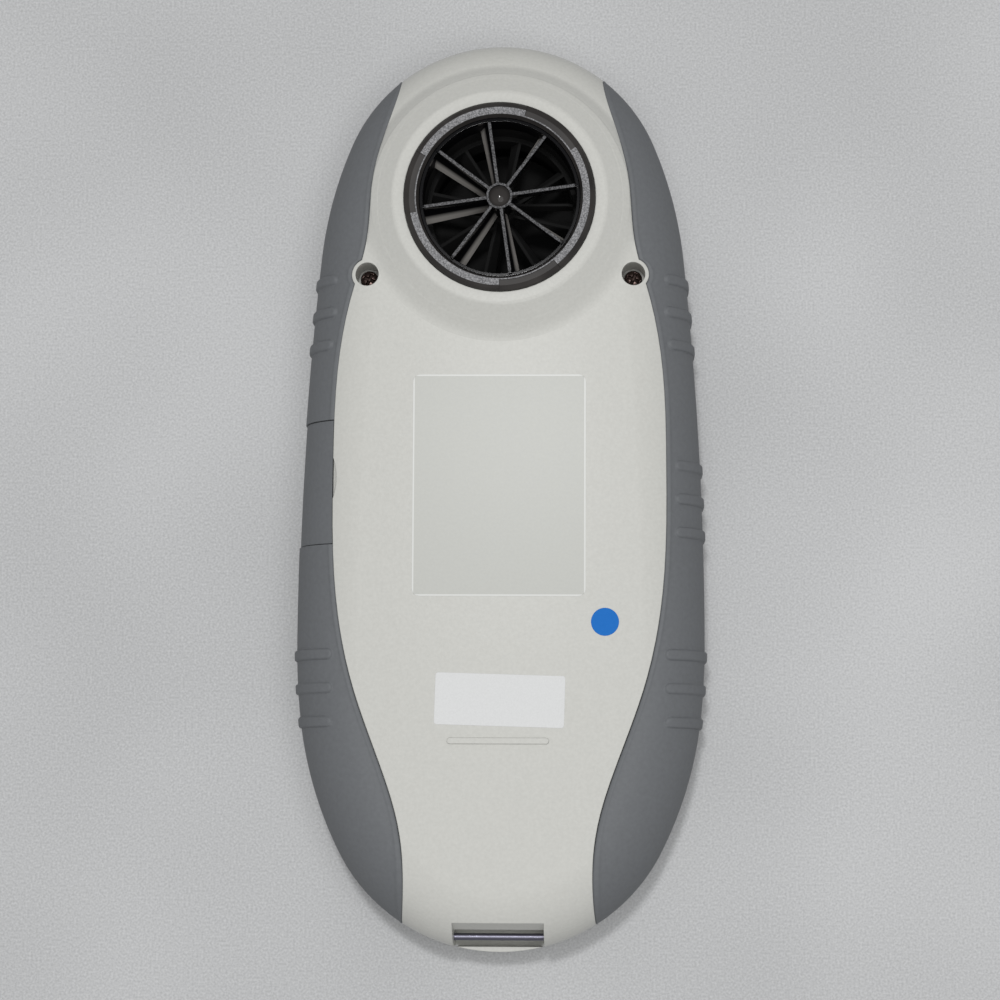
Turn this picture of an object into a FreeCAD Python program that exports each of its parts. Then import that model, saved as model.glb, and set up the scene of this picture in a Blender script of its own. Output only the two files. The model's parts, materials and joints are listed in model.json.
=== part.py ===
import FreeCAD
import Part
import math
import os

from FreeCAD import Vector

# Hand-held turbine spirometer, millimetres. It lies face down: z = 0 is the rim of the front
# face, +Z points out of the back face, +Y runs towards the turbine, x = 0 is the mid plane.

# Casing, overall
BODY_LENGTH = 179.4
BODY_WIDTH = 80.0
BACK_Z = 28.0            # outer back face
PARTING_Z = 14.0         # where the two shells meet
WIDEST_Y = -30.0
BACK_ROUND = 12.5        # rolled edge of the back
FRONT_ROUND = 10.0       # rolled edge of the front
WALL = 2.0
FRONT_WALL = 3.2         # face wall, with room for the sunk face panel
CAVITY_FOOT_ROUND = 1.0  # where the high part of the hollow starts

# Casing outline: tangent arcs, headings in degrees turned from +X
SHOULDER_RADIUS = 80.0
HIP_RADIUS = 76.0
TOP_TURN = 67.0
SHOULDER_TURN = 84.0
HIP_TURN = 96.0
BOTTOM_TURN = 117.0

# Side grips: their edge is given as distance in from the widest side, and y
GRIP_SKIN = 2.2
GRIP_FIT = 0.05          # behind the grip
GRIP_SEAM = 0.12         # open line along the grip's edge
GRIP_FRONT_Z = 4.0
GRIP_EDGE = [(18.4, 90.0), (19.8, 80.0), (17.7, 72.0), (14.8, 60.0), (13.8, 48.5), (11.0, 38.0),
             (8.5, 25.0), (7.6, 4.0), (8.3, -20.0), (11.7, -38.0), (17.4, -54.0),
             (21.0, -66.0), (21.8, -77.0), (20.0, -90.0)]
RIB_HEIGHT = 0.5
RIB_WIDTH = 2.1
RIB_PITCH = 6.5
RIB_COUNT = 3
RIB_INSET = 8.0          # inner ends of the ribs, in from the widest side
RIB_EDGE_GAP = 1.6       # and at least this far from the grip's edge
RIB_FRONT_Z = 7.0
UPPER_RIB_Y = 41.2
MIDDLE_RIB_Y = 4.4
LOWER_RIB_Y = -32.4

# Turbine cartridge
TURBINE_FROM_TOP = 33.7  # axis to the top end of the casing
TURBINE_PROUD = 5.5      # flange face above the back
TURBINE_FRONT_Z = 0.3
SOCKET_RADIUS = 15.1     # takes a 30 mm mouthpiece
SOCKET_DEPTH = 11.7
SOCKET_CHAMFER = 0.4
TUBE_WALL = 1.2
TUBE_CHAMFER = 0.3
TUBE_RUN = 0.08          # running clearance in the sleeve
FLANGE_REACH = 2.3       # flange beyond the tube
FLANGE_THICKNESS = 2.5
FLANGE_EDGE = 0.4
BAND_BEVEL = 0.55        # from the bore up to the flat band
BAND_DENT = 0.3          # three sunk sectors on the flange
DENT_INSET = 0.25
DENT_ANGLES = (53.0, 171.0, 290.0)
DENT_SPAN = 40.0
SOCKET_STOP = 1.0        # shoulder that the mouthpiece meets, inside the socket's bore
RING_STEP = 0.1          # the other rings stand this far inside the bore
RING_WALL = 0.6
RING_RUN = 0.05          # inner rings to the tube
RING_SETBACK = 1.3       # back ring below the flange's face
VANE_COUNT = 8
VANE_START = 8.0
VANE_THICKNESS = 0.6
VANE_SETBACK = 0.3       # vanes short of the hub's inner end
VANE_LEAN_HUB = 0.7
VANE_LEAN_RIM = 1.7
VANE_STRAIGHT_HUB = 3.6
VANE_STRAIGHT_RIM = 2.4
VANE_ROOT = 0.3          # vane ends let into the hub and the ring
HUB_RADIUS = 2.55
HUB_CAP_RADIUS = 2.1
HUB_CAP_DROP = 0.7       # from the dome's top to its edge
HUB_PROUD = 0.2          # hub beyond the vanes
ROTOR_GAP = 0.5          # rotor to swirler
BLADE_HEIGHT = 4.9
BLADE_THICKNESS = 0.5
BLADE_CLEARANCE = 0.8    # blade tip to the window ring
BLADE_TIP_ROUND = 1.5
ROTOR_HUB_WALL = 0.6
SHAFT_RADIUS = 0.4
SHAFT_RUN = 0.05
SHAFT_SEAT = 1.3
SHAFT_POINT = 0.24
SHAFT_END_PLAY = 0.2
BEARING_RADIUS = 1.2
BEARING_LENGTH = 2.0
LUG_COUNT = 3
LUG_SPAN = 14.0
LUG_HEIGHT = 2.0
LUG_REACH = 1.2
LUG_DROP = 6.0           # under the flange
LUG_START = 20.0
LUG_PLAY = 0.2
LUG_SIDE_PLAY = 1.0      # degrees, each side
TWIST_RANGE = 30.0
SEAL_SECTION = 0.38
SEAL_Z = 8.0

# Boss round the turbine on the back
FLANGE_GAP = 0.1
BOSS_FLAT = 2.2          # width of the flat rim
BOSS_SLOPE = 4.4         # width of the slope
BOSS_RISE = 4.5          # rim above the back
BOSS_FOOT_RISE = 1.0     # foot of the slope above the back
BOSS_RIM_ROUND = 1.0
BOSS_SKIRT = 4.0
BOSS_LEDGE = 2.0         # ledge that the flange seats on
BOSS_LEDGE_REACH = 4.0

# Sensor ring round the turbine
SLEEVE_WALL = 1.8
SLEEVE_PLAY = 0.1
SLEEVE_COLLAR_WALL = 1.4
SLEEVE_COLLAR_HEIGHT = 3.0
SHELF_THICKNESS = 1.6
SHELF_REACH = 1.4
SENSOR_ANGLES = {"ir_emitters": (160.0, 195.0), "ir_receivers": (340.0, 15.0)}
SENSOR_RADIUS = 1.5
SENSOR_LENGTH = 3.6
SENSOR_LENS = 1.0        # round nose in front of the square foot
SENSOR_LIFT = 0.3        # sensor above its board
SENSOR_WINDOW_RADIUS = 1.1
SENSOR_BOARD_REACH = 5.2

# Case screws and their posts
CASE_SCREW_INSET = 14.0  # in from the widest side
CASE_SCREW_DROP = 14.3   # below the turbine's axis
CASE_RECESS_RADIUS = 2.3
CASE_RECESS_RIM = 0.7
CASE_RECESS_DEPTH = 7.7
CASE_HEAD_RADIUS = 1.95
CASE_HEAD_HEIGHT = 1.6
CASE_SHANK_RADIUS = 1.25
CASE_SHANK_LENGTH = 11.0
CASE_BOSS_WALL = 1.4
SCREW_PLAY = 0.05
SCREW_POINT = 1.2
DRIVER_SLOT = 0.7
DRIVER_SPAN = 2.6
DRIVER_DEPTH = 0.9

# Port and its cover, on the -X side
PORT_Y = 1.05
COVER_SPAN = 24.1
COVER_SEAM = 0.15
COVER_INSET = 0.25
HINGE_INSET = 3.0        # in from the widest side
HINGE_Z = 8.8
HINGE_RADIUS = 1.3
HINGE_RUN = 0.2
HINGE_SWEEP = 3.2
AXLE_RADIUS = 0.7
AXLE_RUN = 0.05
AXLE_LENGTH = 1.4
PORT_WIDTH = 12.4
PORT_HEIGHT = 6.8
NOTCH_LENGTH = 8.4
NOTCH_DEPTH = 0.8
NOTCH_SINK = 2.6
NOTCH_SHIFT = 0.7        # towards the turbine from the port's middle

# Strap slot in the bottom end
SLOT_WIDTH = 17.6
SLOT_WALL = 1.8
SLOT_LIP = 1.0
SLOT_MOUTH = 5.9         # in from the bottom end, at the back face
SLOT_MOUTH_DEPTH = 3.0
SLOT_SCOOP = 4.5         # in from the bottom end, behind the pin
SLOT_SCOOP_Z = 20.0
SLOT_FLOOR = 5.5
SLOT_FLOOR_Z = 9.0
SLOT_BLOCK_INSET = 0.5
STRAP_PIN_FROM_END = 3.0
STRAP_PIN_RISE = 2.0     # above the parting plane
STRAP_PIN_RADIUS = 0.7
STRAP_PIN_SEAT = 1.2

# Rest rib on the back
REST_RIB_Y = -49.1
REST_RIB_LENGTH = 19.5
REST_RIB_WIDTH = 1.15
REST_RIB_HEIGHT = 0.4
REST_RIB_ROUND = 0.5

# Front face
PANEL_INSET = 13.0
PANEL_FROM_TURBINE = 22.0
PANEL_SINK = 1.2
PANEL_THICKNESS = 0.5
PANEL_FIT = 0.1
PANEL_CORNER = 4.0
WINDOW_Y = 10.0
WINDOW_WIDTH = 40.0
WINDOW_HEIGHT = 32.0
WINDOW_THICKNESS = 1.2
WINDOW_LEDGE = 3.0
WINDOW_CORNER = 2.0
LCD_THICKNESS = 1.6
LCD_INSET = 1.0
LCD_CORNER = 0.5
FRAME_WALL = 1.5
FRAME_LEDGE = 3.0
FRAME_FLOOR = 1.5
FRAME_CORNER = 1.0
KEYPAD_Y = -36.0
KEY_PITCH = 14.0
KEY_WIDTH = 12.0
KEY_HEIGHT = 8.0
KEY_CORNER = 2.5
SIDE_KEY_SHIFT = 1.5
POWER_KEY_RADIUS = 5.0
KEY_FIT = 0.2
KEY_FLOOR_GAP = 0.2
KEY_EDGE_ROUND = 0.3
KEY_FLANGE = 1.0
KEY_FLANGE_HEIGHT = 0.8
KEY_TRAVEL = 0.6
KEY_POST_RADIUS = 1.5
KEY_POST_LENGTH = 3.4
KEY_POST_GAP = 0.1
SWITCH_SIZE = 6.0
SWITCH_PLUNGER = 1.6
PLUNGER_HEIGHT = 1.2

# Electronics: chips are width, length, height, x, y
BOARD_Z = 12.0
BOARD_THICKNESS = 1.6
BOARD_GAP = 1.6          # to the sensor board
BOARD_BOTTOM_Y = -66.0
BOARD_INSET = 12.0       # in from the widest side
BOARD_CORNER = 5.0
BOARD_HOLE_PLAY = 0.15
BOARD_SCREW_INSET = 4.0  # and to its ends
BOARD_POST_GAP = 0.5     # post to the display frame
BOARD_POST_RADIUS = 3.0
BOARD_SHANK_RADIUS = 0.95
BOARD_HEAD_RADIUS = 1.9
BOARD_HEAD_HEIGHT = 1.3
BOARD_SHANK_LENGTH = 6.0
PROCESSOR = (10.0, 10.0, 1.2, 12.0, 24.0)
RADIO_MODULE = (14.0, 11.0, 2.0, -14.0, 24.0)
BUZZER_RADIUS = 4.5
BUZZER_HEIGHT = 3.2
BUZZER_Y = 22.0
BATTERY_WIDTH = 34.0
BATTERY_LENGTH = 50.0
BATTERY_THICKNESS = 7.0
BATTERY_CORNER = 2.5
BATTERY_X = 4.0
BATTERY_Y = -28.0
PAD_THICKNESS = 1.0
PAD_INSET = 2.0
CRADLE_WALL = 1.2
CRADLE_FIT = 0.3
CRADLE_DEPTH = 5.0
USB_WIDTH = 7.6
USB_LENGTH = 5.6
USB_HEIGHT = 2.8
USB_SHELL = 0.35
USB_OVERHANG = 3.9       # mouth of the socket beyond the board's edge
USB_TONGUE_WIDTH = 4.4
USB_TONGUE_THICKNESS = 0.6
USB_TONGUE_SETBACK = 0.6
USB_BACK_WALL = 1.0
PLUG_WIDTH = 6.0
PLUG_LENGTH = 4.4
PLUG_HEIGHT = 3.2
PLUG_OFFSET = 9.5        # from the cell's mid line towards -X
PLUG_GAP = 12.0          # from the cell's end
LEAD_RADIUS = 0.6
LEAD_PITCH = 1.8

CONTACT_GAP = 0.05       # faces that meet
POST_ROOT = 0.5          # posts let into the wall they stand on
OVERCUT = 1.0            # cutters run this far past what they cut
EDGE_TOLERANCE = 1e-6

# Places that follow from the sizes above
SIDE_X = BODY_WIDTH / 2
END_Y = BODY_LENGTH / 2
TURBINE_Y = END_Y - TURBINE_FROM_TOP
TURBINE_TOP_Z = BACK_Z + TURBINE_PROUD
TUBE_RADIUS = SOCKET_RADIUS + TUBE_WALL
FLANGE_RADIUS = TUBE_RADIUS + FLANGE_REACH
FLANGE_Z = TURBINE_TOP_Z - FLANGE_THICKNESS
RING_INNER = SOCKET_RADIUS - RING_STEP
RING_OUTER = RING_INNER + RING_WALL
BAND_INNER_RADIUS = RING_OUTER + RING_RUN + BAND_BEVEL
REAR_RING_Z = TURBINE_TOP_Z - RING_SETBACK
SEAT_Z = TURBINE_FRONT_Z + SOCKET_DEPTH
ROTOR_Z = (REAR_RING_Z + SEAT_Z) / 2
HUB_GAP = BLADE_HEIGHT / 2 + ROTOR_GAP
LUG_Z = FLANGE_Z - LUG_DROP
LEDGE_Z = FLANGE_Z - CONTACT_GAP
BOSS_BORE_RADIUS = FLANGE_RADIUS + FLANGE_GAP
BOSS_FLAT_RADIUS = BOSS_BORE_RADIUS + BOSS_FLAT
BOSS_FOOT_RADIUS = BOSS_FLAT_RADIUS + BOSS_SLOPE
SLEEVE_BORE = TUBE_RADIUS + TUBE_RUN
SLEEVE_OUTER = SLEEVE_BORE + SLEEVE_WALL
SLEEVE_TOP_Z = LEDGE_Z - BOSS_LEDGE
SENSOR_SHELF_Z = ROTOR_Z - SENSOR_RADIUS - SENSOR_LIFT
CASE_SCREW_X = SIDE_X - CASE_SCREW_INSET
CASE_SCREW_Y = TURBINE_Y - CASE_SCREW_DROP
CASE_SEAT_Z = BACK_Z - CASE_RECESS_DEPTH - CASE_HEAD_HEIGHT
HINGE_X = SIDE_X - HINGE_INSET
STRAP_PIN_Y = STRAP_PIN_FROM_END - END_Y
STRAP_PIN_Z = PARTING_Z + STRAP_PIN_RISE
LENS_Z = PANEL_SINK - PANEL_THICKNESS
PANEL_TOP_Y = TURBINE_Y - PANEL_FROM_TURBINE
LCD_Z = FRONT_WALL + CONTACT_GAP
FRAME_Z = LCD_Z + LCD_THICKNESS + CONTACT_GAP
SWITCH_TOP_Z = FRONT_WALL + KEY_FLANGE_HEIGHT + KEY_POST_LENGTH
BOARD_TOP_Y = TURBINE_Y - SLEEVE_OUTER - SENSOR_BOARD_REACH - BOARD_GAP
BOARD_TOP_Z = BOARD_Z + BOARD_THICKNESS
BOARD_SCREW_X = WINDOW_WIDTH / 2 + FRAME_WALL + BOARD_POST_GAP + BOARD_POST_RADIUS
BOARD_WIDTH = 2 * (SIDE_X - BOARD_INSET)
USB_FACE_X = BOARD_WIDTH / 2 + USB_OVERHANG
USB_CENTRE_Z = BOARD_TOP_Z + USB_HEIGHT / 2
BATTERY_TOP_Z = BACK_Z - WALL - PAD_THICKNESS - 2 * CONTACT_GAP
PLUG_X = BATTERY_X - PLUG_OFFSET
PLUG_Y = BATTERY_Y + BATTERY_LENGTH / 2 + PLUG_GAP
KEY_PLACES = {
    "power_key": (0, KEYPAD_Y),
    "up_key": (0, KEYPAD_Y + KEY_PITCH),
    "down_key": (0, KEYPAD_Y - KEY_PITCH),
    "left_key": (-KEY_PITCH - SIDE_KEY_SHIFT, KEYPAD_Y),
    "right_key": (KEY_PITCH + SIDE_KEY_SHIFT, KEYPAD_Y),
}

UP = Vector(0, 0, 1)
ORIGIN = Vector(0, 0, 0)
AXIS = Vector(0, TURBINE_Y, 0)


def sine(degrees):
    return math.sin(math.radians(degrees))


def cosine(degrees):
    return math.cos(math.radians(degrees))


def end_and_side(reach_x, reach_y, joint_radius, end_turn, joint_turn):
    """Radii of the end arc and the side arc that carry the outline from the end to the widest
    point, with an arc of joint_radius between them."""
    a, b = sine(end_turn), 1 - sine(joint_turn)
    c, d = 1 - cosine(end_turn), cosine(joint_turn)
    u = reach_x - joint_radius * (sine(joint_turn) - sine(end_turn))
    v = reach_y - joint_radius * (cosine(end_turn) - cosine(joint_turn))
    scale = a * d - b * c
    return (u * d - b * v) / scale, (a * v - c * u) / scale


def outline_spans():
    """Radius, first heading and last heading of each arc down the +X half."""
    top, side = end_and_side(SIDE_X, END_Y - WIDEST_Y, SHOULDER_RADIUS, TOP_TURN, SHOULDER_TURN)
    bottom, low_side = end_and_side(SIDE_X, END_Y + WIDEST_Y, HIP_RADIUS,
                                    180 - BOTTOM_TURN, 180 - HIP_TURN)
    return [(top, 0, TOP_TURN), (SHOULDER_RADIUS, TOP_TURN, SHOULDER_TURN),
            (side, SHOULDER_TURN, 90), (low_side, 90, HIP_TURN),
            (HIP_RADIUS, HIP_TURN, BOTTOM_TURN), (bottom, BOTTOM_TURN, 180)]


def outline_wire(inset, z):
    """Casing outline, moved inwards by inset."""
    right, left = [], []
    start = Vector(0, END_Y, z)
    for radius, first, last in outline_spans():
        centre = start - radius * Vector(sine(first), cosine(first), 0)
        start = centre + radius * Vector(sine(last), cosine(last), 0)
        arc = [centre + (radius - inset) * Vector(sine(turn), cosine(turn), 0)
               for turn in (first, (first + last) / 2, last)]
        opposite = [Vector(-p.x, p.y, p.z) for p in reversed(arc)]
        right.append(Part.Arc(*arc).toShape())
        left.insert(0, Part.Arc(*opposite).toShape())
    return Part.Wire(right + left)


def rounded_prism(inset, low, high, low_round, high_round):
    """The outline, inset and extruded, with both ends rolled over."""
    prism = Part.Face(outline_wire(inset, low)).extrude(UP * (high - low))
    foot = [e for e in prism.Edges if e.BoundBox.ZMax < low + EDGE_TOLERANCE]
    rolled = prism.makeFillet(low_round, foot)
    rim = [e for e in rolled.Edges if e.BoundBox.ZMin > high - EDGE_TOLERANCE]
    return rolled.makeFillet(high_round, rim)


def envelope(inset):
    """Outer form of the casing, moved inwards by inset all round."""
    return rounded_prism(inset, inset, BACK_Z - inset, FRONT_ROUND - inset, BACK_ROUND - inset)


def box(x0, x1, y0, y1, z0, z1):
    return Part.makeBox(x1 - x0, y1 - y0, z1 - z0, Vector(x0, y0, z0))


def disc(radius, low, high, centre=ORIGIN):
    """Upright cylinder from low to high."""
    return Part.makeCylinder(radius, high - low, Vector(centre.x, centre.y, low), UP)


def ring(outer, inner, low, high, centre=ORIGIN):
    return disc(outer, low, high, centre).cut(disc(inner, low - OVERCUT, high + OVERCUT, centre))


def sector(outer, inner, low, high, first, span, centre=AXIS):
    """Part of a ring that starts at the angle first and spans span degrees."""
    corners = [(inner, low), (outer, low), (outer, high), (inner, high), (inner, low)]
    face = Part.Face(Part.makePolygon([Vector(r, 0, z) for r, z in corners]))
    body = face.revolve(ORIGIN, UP, span)
    body.rotate(ORIGIN, UP, first)
    body.translate(Vector(centre.x, centre.y, 0))
    return body


def revolved(profile, centre=AXIS):
    """Closed (radius, z) profile turned about an upright axis."""
    points = [Vector(r, 0, z) for r, z in profile]
    body = Part.Face(Part.makePolygon(points + points[:1])).revolve(ORIGIN, UP, 360)
    body.translate(Vector(centre.x, centre.y, 0))
    return body


def rounded_block(width, length, low, high, corner, x=0.0, y=0.0):
    """Upright block with rounded corners, centred at x, y."""
    block = box(x - width / 2, x + width / 2, y - length / 2, y + length / 2, low, high)
    upright = [e for e in block.Edges if e.BoundBox.ZLength > EDGE_TOLERANCE]
    return block.makeFillet(corner, upright)


def fused(shapes):
    return shapes[0].multiFuse(shapes[1:])


def mirrored(shape):
    return shape.mirror(ORIGIN, Vector(1, 0, 0))


def both_sides(shape):
    return shape.fuse(mirrored(shape))


def front_of(z):
    """Everything nearer the front than z."""
    return box(-BODY_WIDTH, BODY_WIDTH, -BODY_LENGTH, BODY_LENGTH, -BACK_Z, z)


def grip_edge(z, shift=0.0):
    """Curve of the +X grip's inner edge, moved outwards by shift."""
    curve = Part.BSplineCurve()
    curve.interpolate([Vector(SIDE_X - inset + shift, y, z) for inset, y in GRIP_EDGE])
    return curve.toShape()


def grip_zone(shift):
    """Everything outside the grip's edge on the +X side, the edge moved by shift."""
    low, high = -OVERCUT, TURBINE_TOP_Z + OVERCUT
    edge = grip_edge(low, shift)
    top, bottom = edge.valueAt(edge.FirstParameter), edge.valueAt(edge.LastParameter)
    far_bottom = Vector(BODY_WIDTH, bottom.y, low)
    far_top = Vector(BODY_WIDTH, top.y, low)
    sides = [Part.makeLine(bottom, far_bottom), Part.makeLine(far_bottom, far_top),
             Part.makeLine(far_top, top)]
    return Part.Face(Part.Wire([edge] + sides)).extrude(UP * (high - low))


def grip_edge_x(y):
    """Distance of the grip's edge from the mid plane at a given y."""
    line = Part.makeLine(Vector(0, y, 0), Vector(BODY_WIDTH, y, 0))
    return grip_edge(0).distToShape(line)[1][0][0].x


def case_posts(low, high, radius):
    """Two upright cylinders on the axes of the case screws."""
    return fused([disc(radius, low, high, p) for p in case_screw_points()])


def case_screw_points():
    return [Vector(side * CASE_SCREW_X, CASE_SCREW_Y, 0) for side in (-1, 1)]


def screw_rims(radius):
    """Columns of the white shell that rise past the grips round the case screws."""
    return case_posts(GRIP_FRONT_Z + WALL, BACK_Z + OVERCUT, radius)


def grip_pockets():
    """Room in the two shells for the grips."""
    skin = envelope(-OVERCUT).cut(envelope(GRIP_SKIN + GRIP_FIT)).cut(front_of(GRIP_FRONT_Z))
    pocket = skin.common(grip_zone(-GRIP_SEAM / 2))
    return both_sides(pocket.cut(screw_rims(CASE_RECESS_RADIUS + CASE_RECESS_RIM)))


def cavity():
    """Hollow of the casing: thin walls under the white shells, and walls of the same
    thickness behind the grips."""
    deep = GRIP_SKIN + GRIP_FIT + WALL
    high = BACK_Z - WALL
    rolled = BACK_ROUND - WALL
    core = rounded_prism(deep, FRONT_WALL, high - GRIP_SKIN, FRONT_ROUND - deep, rolled - GRIP_SKIN)
    rise = rounded_prism(deep, high - rolled - WALL, high, CAVITY_FOOT_ROUND, rolled - GRIP_SKIN)
    side = both_sides(grip_zone(-WALL - GRIP_SEAM))
    return core.fuse(rise.cut(side))


def slot_profile(points, width):
    """A side profile of (y, z) points carried across the slot's width."""
    wire = Part.makePolygon([Vector(-width / 2, y, z) for y, z in points + points[:1]])
    return Part.Face(wire).extrude(Vector(width, 0, 0))


def strap_slot():
    """Opening of the strap slot through both shells."""
    mouth, scoop = SLOT_MOUTH - END_Y, SLOT_SCOOP - END_Y
    out, above = -END_Y - OVERCUT, BACK_Z + OVERCUT
    upper = [(mouth, above), (mouth, BACK_Z - SLOT_MOUTH_DEPTH), (scoop, SLOT_SCOOP_Z),
             (scoop, PARTING_Z), (out, PARTING_Z), (out, above)]
    lower = box(-SLOT_WIDTH / 2, SLOT_WIDTH / 2, SLOT_LIP - END_Y, SLOT_FLOOR - END_Y, SLOT_FLOOR_Z,
                STRAP_PIN_Z - STRAP_PIN_RADIUS)
    return slot_profile(upper, SLOT_WIDTH).fuse(lower)


def strap_block():
    """Walls round the strap slot, inside the casing's form."""
    half = SLOT_WIDTH / 2 + SLOT_WALL
    block = box(-half, half, -END_Y, SLOT_MOUTH + SLOT_WALL - END_Y, FRONT_WALL - POST_ROOT, BACK_Z)
    return block.common(envelope(SLOT_BLOCK_INSET))


def strap_pin_bar(radius):
    length = SLOT_WIDTH + 2 * STRAP_PIN_SEAT
    start = Vector(-length / 2, STRAP_PIN_Y, STRAP_PIN_Z)
    return Part.makeCylinder(radius, length, start, Vector(1, 0, 0))


def cover_zone(seam):
    """Space of the port cover, widened by seam on each end."""
    half = COVER_SPAN / 2 + seam
    zone = box(-BODY_WIDTH, 0, PORT_Y - half, PORT_Y + half, HINGE_Z, BACK_Z + OVERCUT)
    return zone.common(mirrored(grip_zone(GRIP_SEAM / 2 - seam)))


def hinge_bar(radius, reach):
    """Cylinder on the port cover's hinge line, reaching past each end of the cover."""
    length = COVER_SPAN + 2 * reach
    start = Vector(-HINGE_X, PORT_Y - length / 2, HINGE_Z)
    return Part.makeCylinder(radius, length, start, Vector(0, 1, 0))


def hinge_room():
    """Room that the port cover's foot sweeps as it opens."""
    below = box(-BODY_WIDTH, -HINGE_X, -BODY_LENGTH, BODY_LENGTH, 0, HINGE_Z)
    sweep = hinge_bar(HINGE_SWEEP, COVER_SEAM).common(below)
    barrel = hinge_bar(HINGE_RADIUS + HINGE_RUN, COVER_SEAM)
    return fused([barrel, sweep, hinge_bar(AXLE_RADIUS + AXLE_RUN, AXLE_LENGTH + COVER_SEAM)])


def port_window():
    y, z = PORT_WIDTH / 2, PORT_HEIGHT / 2
    return box(GRIP_SKIN - SIDE_X, -USB_FACE_X - OVERCUT, PORT_Y - y, PORT_Y + y,
               USB_CENTRE_Z - z, USB_CENTRE_Z + z)


def pry_notch():
    """Thumbnail notch in the back shell at the port cover's edge."""
    radius = ((NOTCH_LENGTH / 2) ** 2 + NOTCH_DEPTH ** 2) / (2 * NOTCH_DEPTH)
    x = -(grip_edge_x(PORT_Y) - NOTCH_DEPTH + radius)
    centre = Vector(x, PORT_Y + NOTCH_SHIFT, 0)
    return disc(radius, BACK_Z - NOTCH_SINK, BACK_Z + OVERCUT, centre)


def lug_openings(outer, inner, low, high, turn, span):
    """Openings for the bayonet lugs, one for each lug, turned past its rest place."""
    return fused([sector(outer, inner, low, high, LUG_START + turn - LUG_SIDE_PLAY + n * 360 / LUG_COUNT,
                         span + 2 * LUG_SIDE_PLAY) for n in range(LUG_COUNT)])


def lug_slots():
    """Bayonet slots in the sensor sleeve, each open towards the back at its far end."""
    outer, inner = SLEEVE_OUTER + OVERCUT, TUBE_RADIUS - OVERCUT
    low, high = LUG_Z - LUG_PLAY, LUG_Z + LUG_HEIGHT + LUG_PLAY
    run = lug_openings(outer, inner, low, high, 0, LUG_SPAN + TWIST_RANGE)
    return run.fuse(lug_openings(outer, inner, low, SLEEVE_TOP_Z + OVERCUT, TWIST_RANGE, LUG_SPAN))


def lug_gates():
    """Gaps in the boss's ledge that the lugs leave through."""
    outer, inner = TUBE_RADIUS + LUG_REACH + LUG_PLAY, TUBE_RADIUS - OVERCUT
    return lug_openings(outer, inner, SLEEVE_TOP_Z - OVERCUT, FLANGE_Z, TWIST_RANGE, LUG_SPAN)


def shell_body(pockets):
    """Both shells as one hollow body, before they are parted."""
    inner, skirt_z = BOSS_BORE_RADIUS - BOSS_LEDGE_REACH, BACK_Z - BOSS_SKIRT
    foot_z, top_z = BACK_Z + BOSS_FOOT_RISE, BACK_Z + BOSS_RISE
    boss = revolved([(inner, skirt_z), (BOSS_FOOT_RADIUS, skirt_z), (BOSS_FOOT_RADIUS, foot_z),
                     (BOSS_FLAT_RADIUS, top_z), (inner, top_z)])
    rims = [e for e in boss.Edges if abs(e.BoundBox.ZMin - top_z) < EDGE_TOLERANCE
            and abs(e.BoundBox.XMax - BOSS_FLAT_RADIUS) < EDGE_TOLERANCE]
    boss = boss.makeFillet(BOSS_RIM_ROUND, rims)
    under_boss = disc(BOSS_FOOT_RADIUS - WALL, BACK_Z - WALL - OVERCUT, SLEEVE_TOP_Z, AXIS)
    return envelope(0).cut(pockets).fuse(boss).cut(cavity().fuse(under_boss))


def battery_cradle():
    """Low wall on the back shell's inside that the cell sits in, with a gap for its lead."""
    width = BATTERY_WIDTH + 2 * CRADLE_FIT
    length = BATTERY_LENGTH + 2 * CRADLE_FIT
    corner = BATTERY_CORNER + CRADLE_FIT
    inner_z = BACK_Z - WALL
    wall = rounded_block(width + 2 * CRADLE_WALL, length + 2 * CRADLE_WALL, inner_z - CRADLE_DEPTH,
                         inner_z + POST_ROOT, corner + CRADLE_WALL, BATTERY_X, BATTERY_Y)
    wall = wall.cut(rounded_block(width, length, 0, inner_z, corner, BATTERY_X, BATTERY_Y))
    half = LEAD_PITCH / 2 + 2 * LEAD_RADIUS
    return wall.cut(box(PLUG_X - half, PLUG_X + half, BATTERY_Y, PLUG_Y, 0, inner_z))


def board_points():
    rows = (BOARD_TOP_Y - BOARD_SCREW_INSET, BOARD_BOTTOM_Y + BOARD_SCREW_INSET)
    return [Vector(side * BOARD_SCREW_X, y, 0) for y in rows for side in (-1, 1)]


def back_shell(body, pockets):
    """Back half of the casing, with the screw posts, the strap slot's walls and the cradle."""
    posts = case_posts(PARTING_Z, BACK_Z, CASE_RECESS_RADIUS + CASE_BOSS_WALL).cut(pockets)
    posts = posts.common(envelope(POST_ROOT))
    block = strap_block().cut(front_of(PARTING_Z))
    rib = rounded_block(REST_RIB_LENGTH, REST_RIB_WIDTH, BACK_Z - POST_ROOT, BACK_Z + REST_RIB_HEIGHT,
                        REST_RIB_ROUND, y=REST_RIB_Y)
    shell = body.cut(front_of(PARTING_Z)).multiFuse([posts, block, rib, battery_cradle()])
    cuts = [disc(BOSS_BORE_RADIUS, LEDGE_Z, TURBINE_TOP_Z, AXIS),
            disc(SLEEVE_BORE + SLEEVE_PLAY, PARTING_Z, TURBINE_TOP_Z, AXIS),
            lug_gates(),
            case_posts(CASE_SEAT_Z, BACK_Z + OVERCUT, CASE_RECESS_RADIUS),
            case_posts(0, BACK_Z, CASE_SHANK_RADIUS + SCREW_PLAY),
            strap_slot(), strap_pin_bar(STRAP_PIN_RADIUS + SCREW_PLAY),
            port_window(), pry_notch(), hinge_room()]
    for cut in cuts:
        shell = shell.cut(cut)
    return shell


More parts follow.
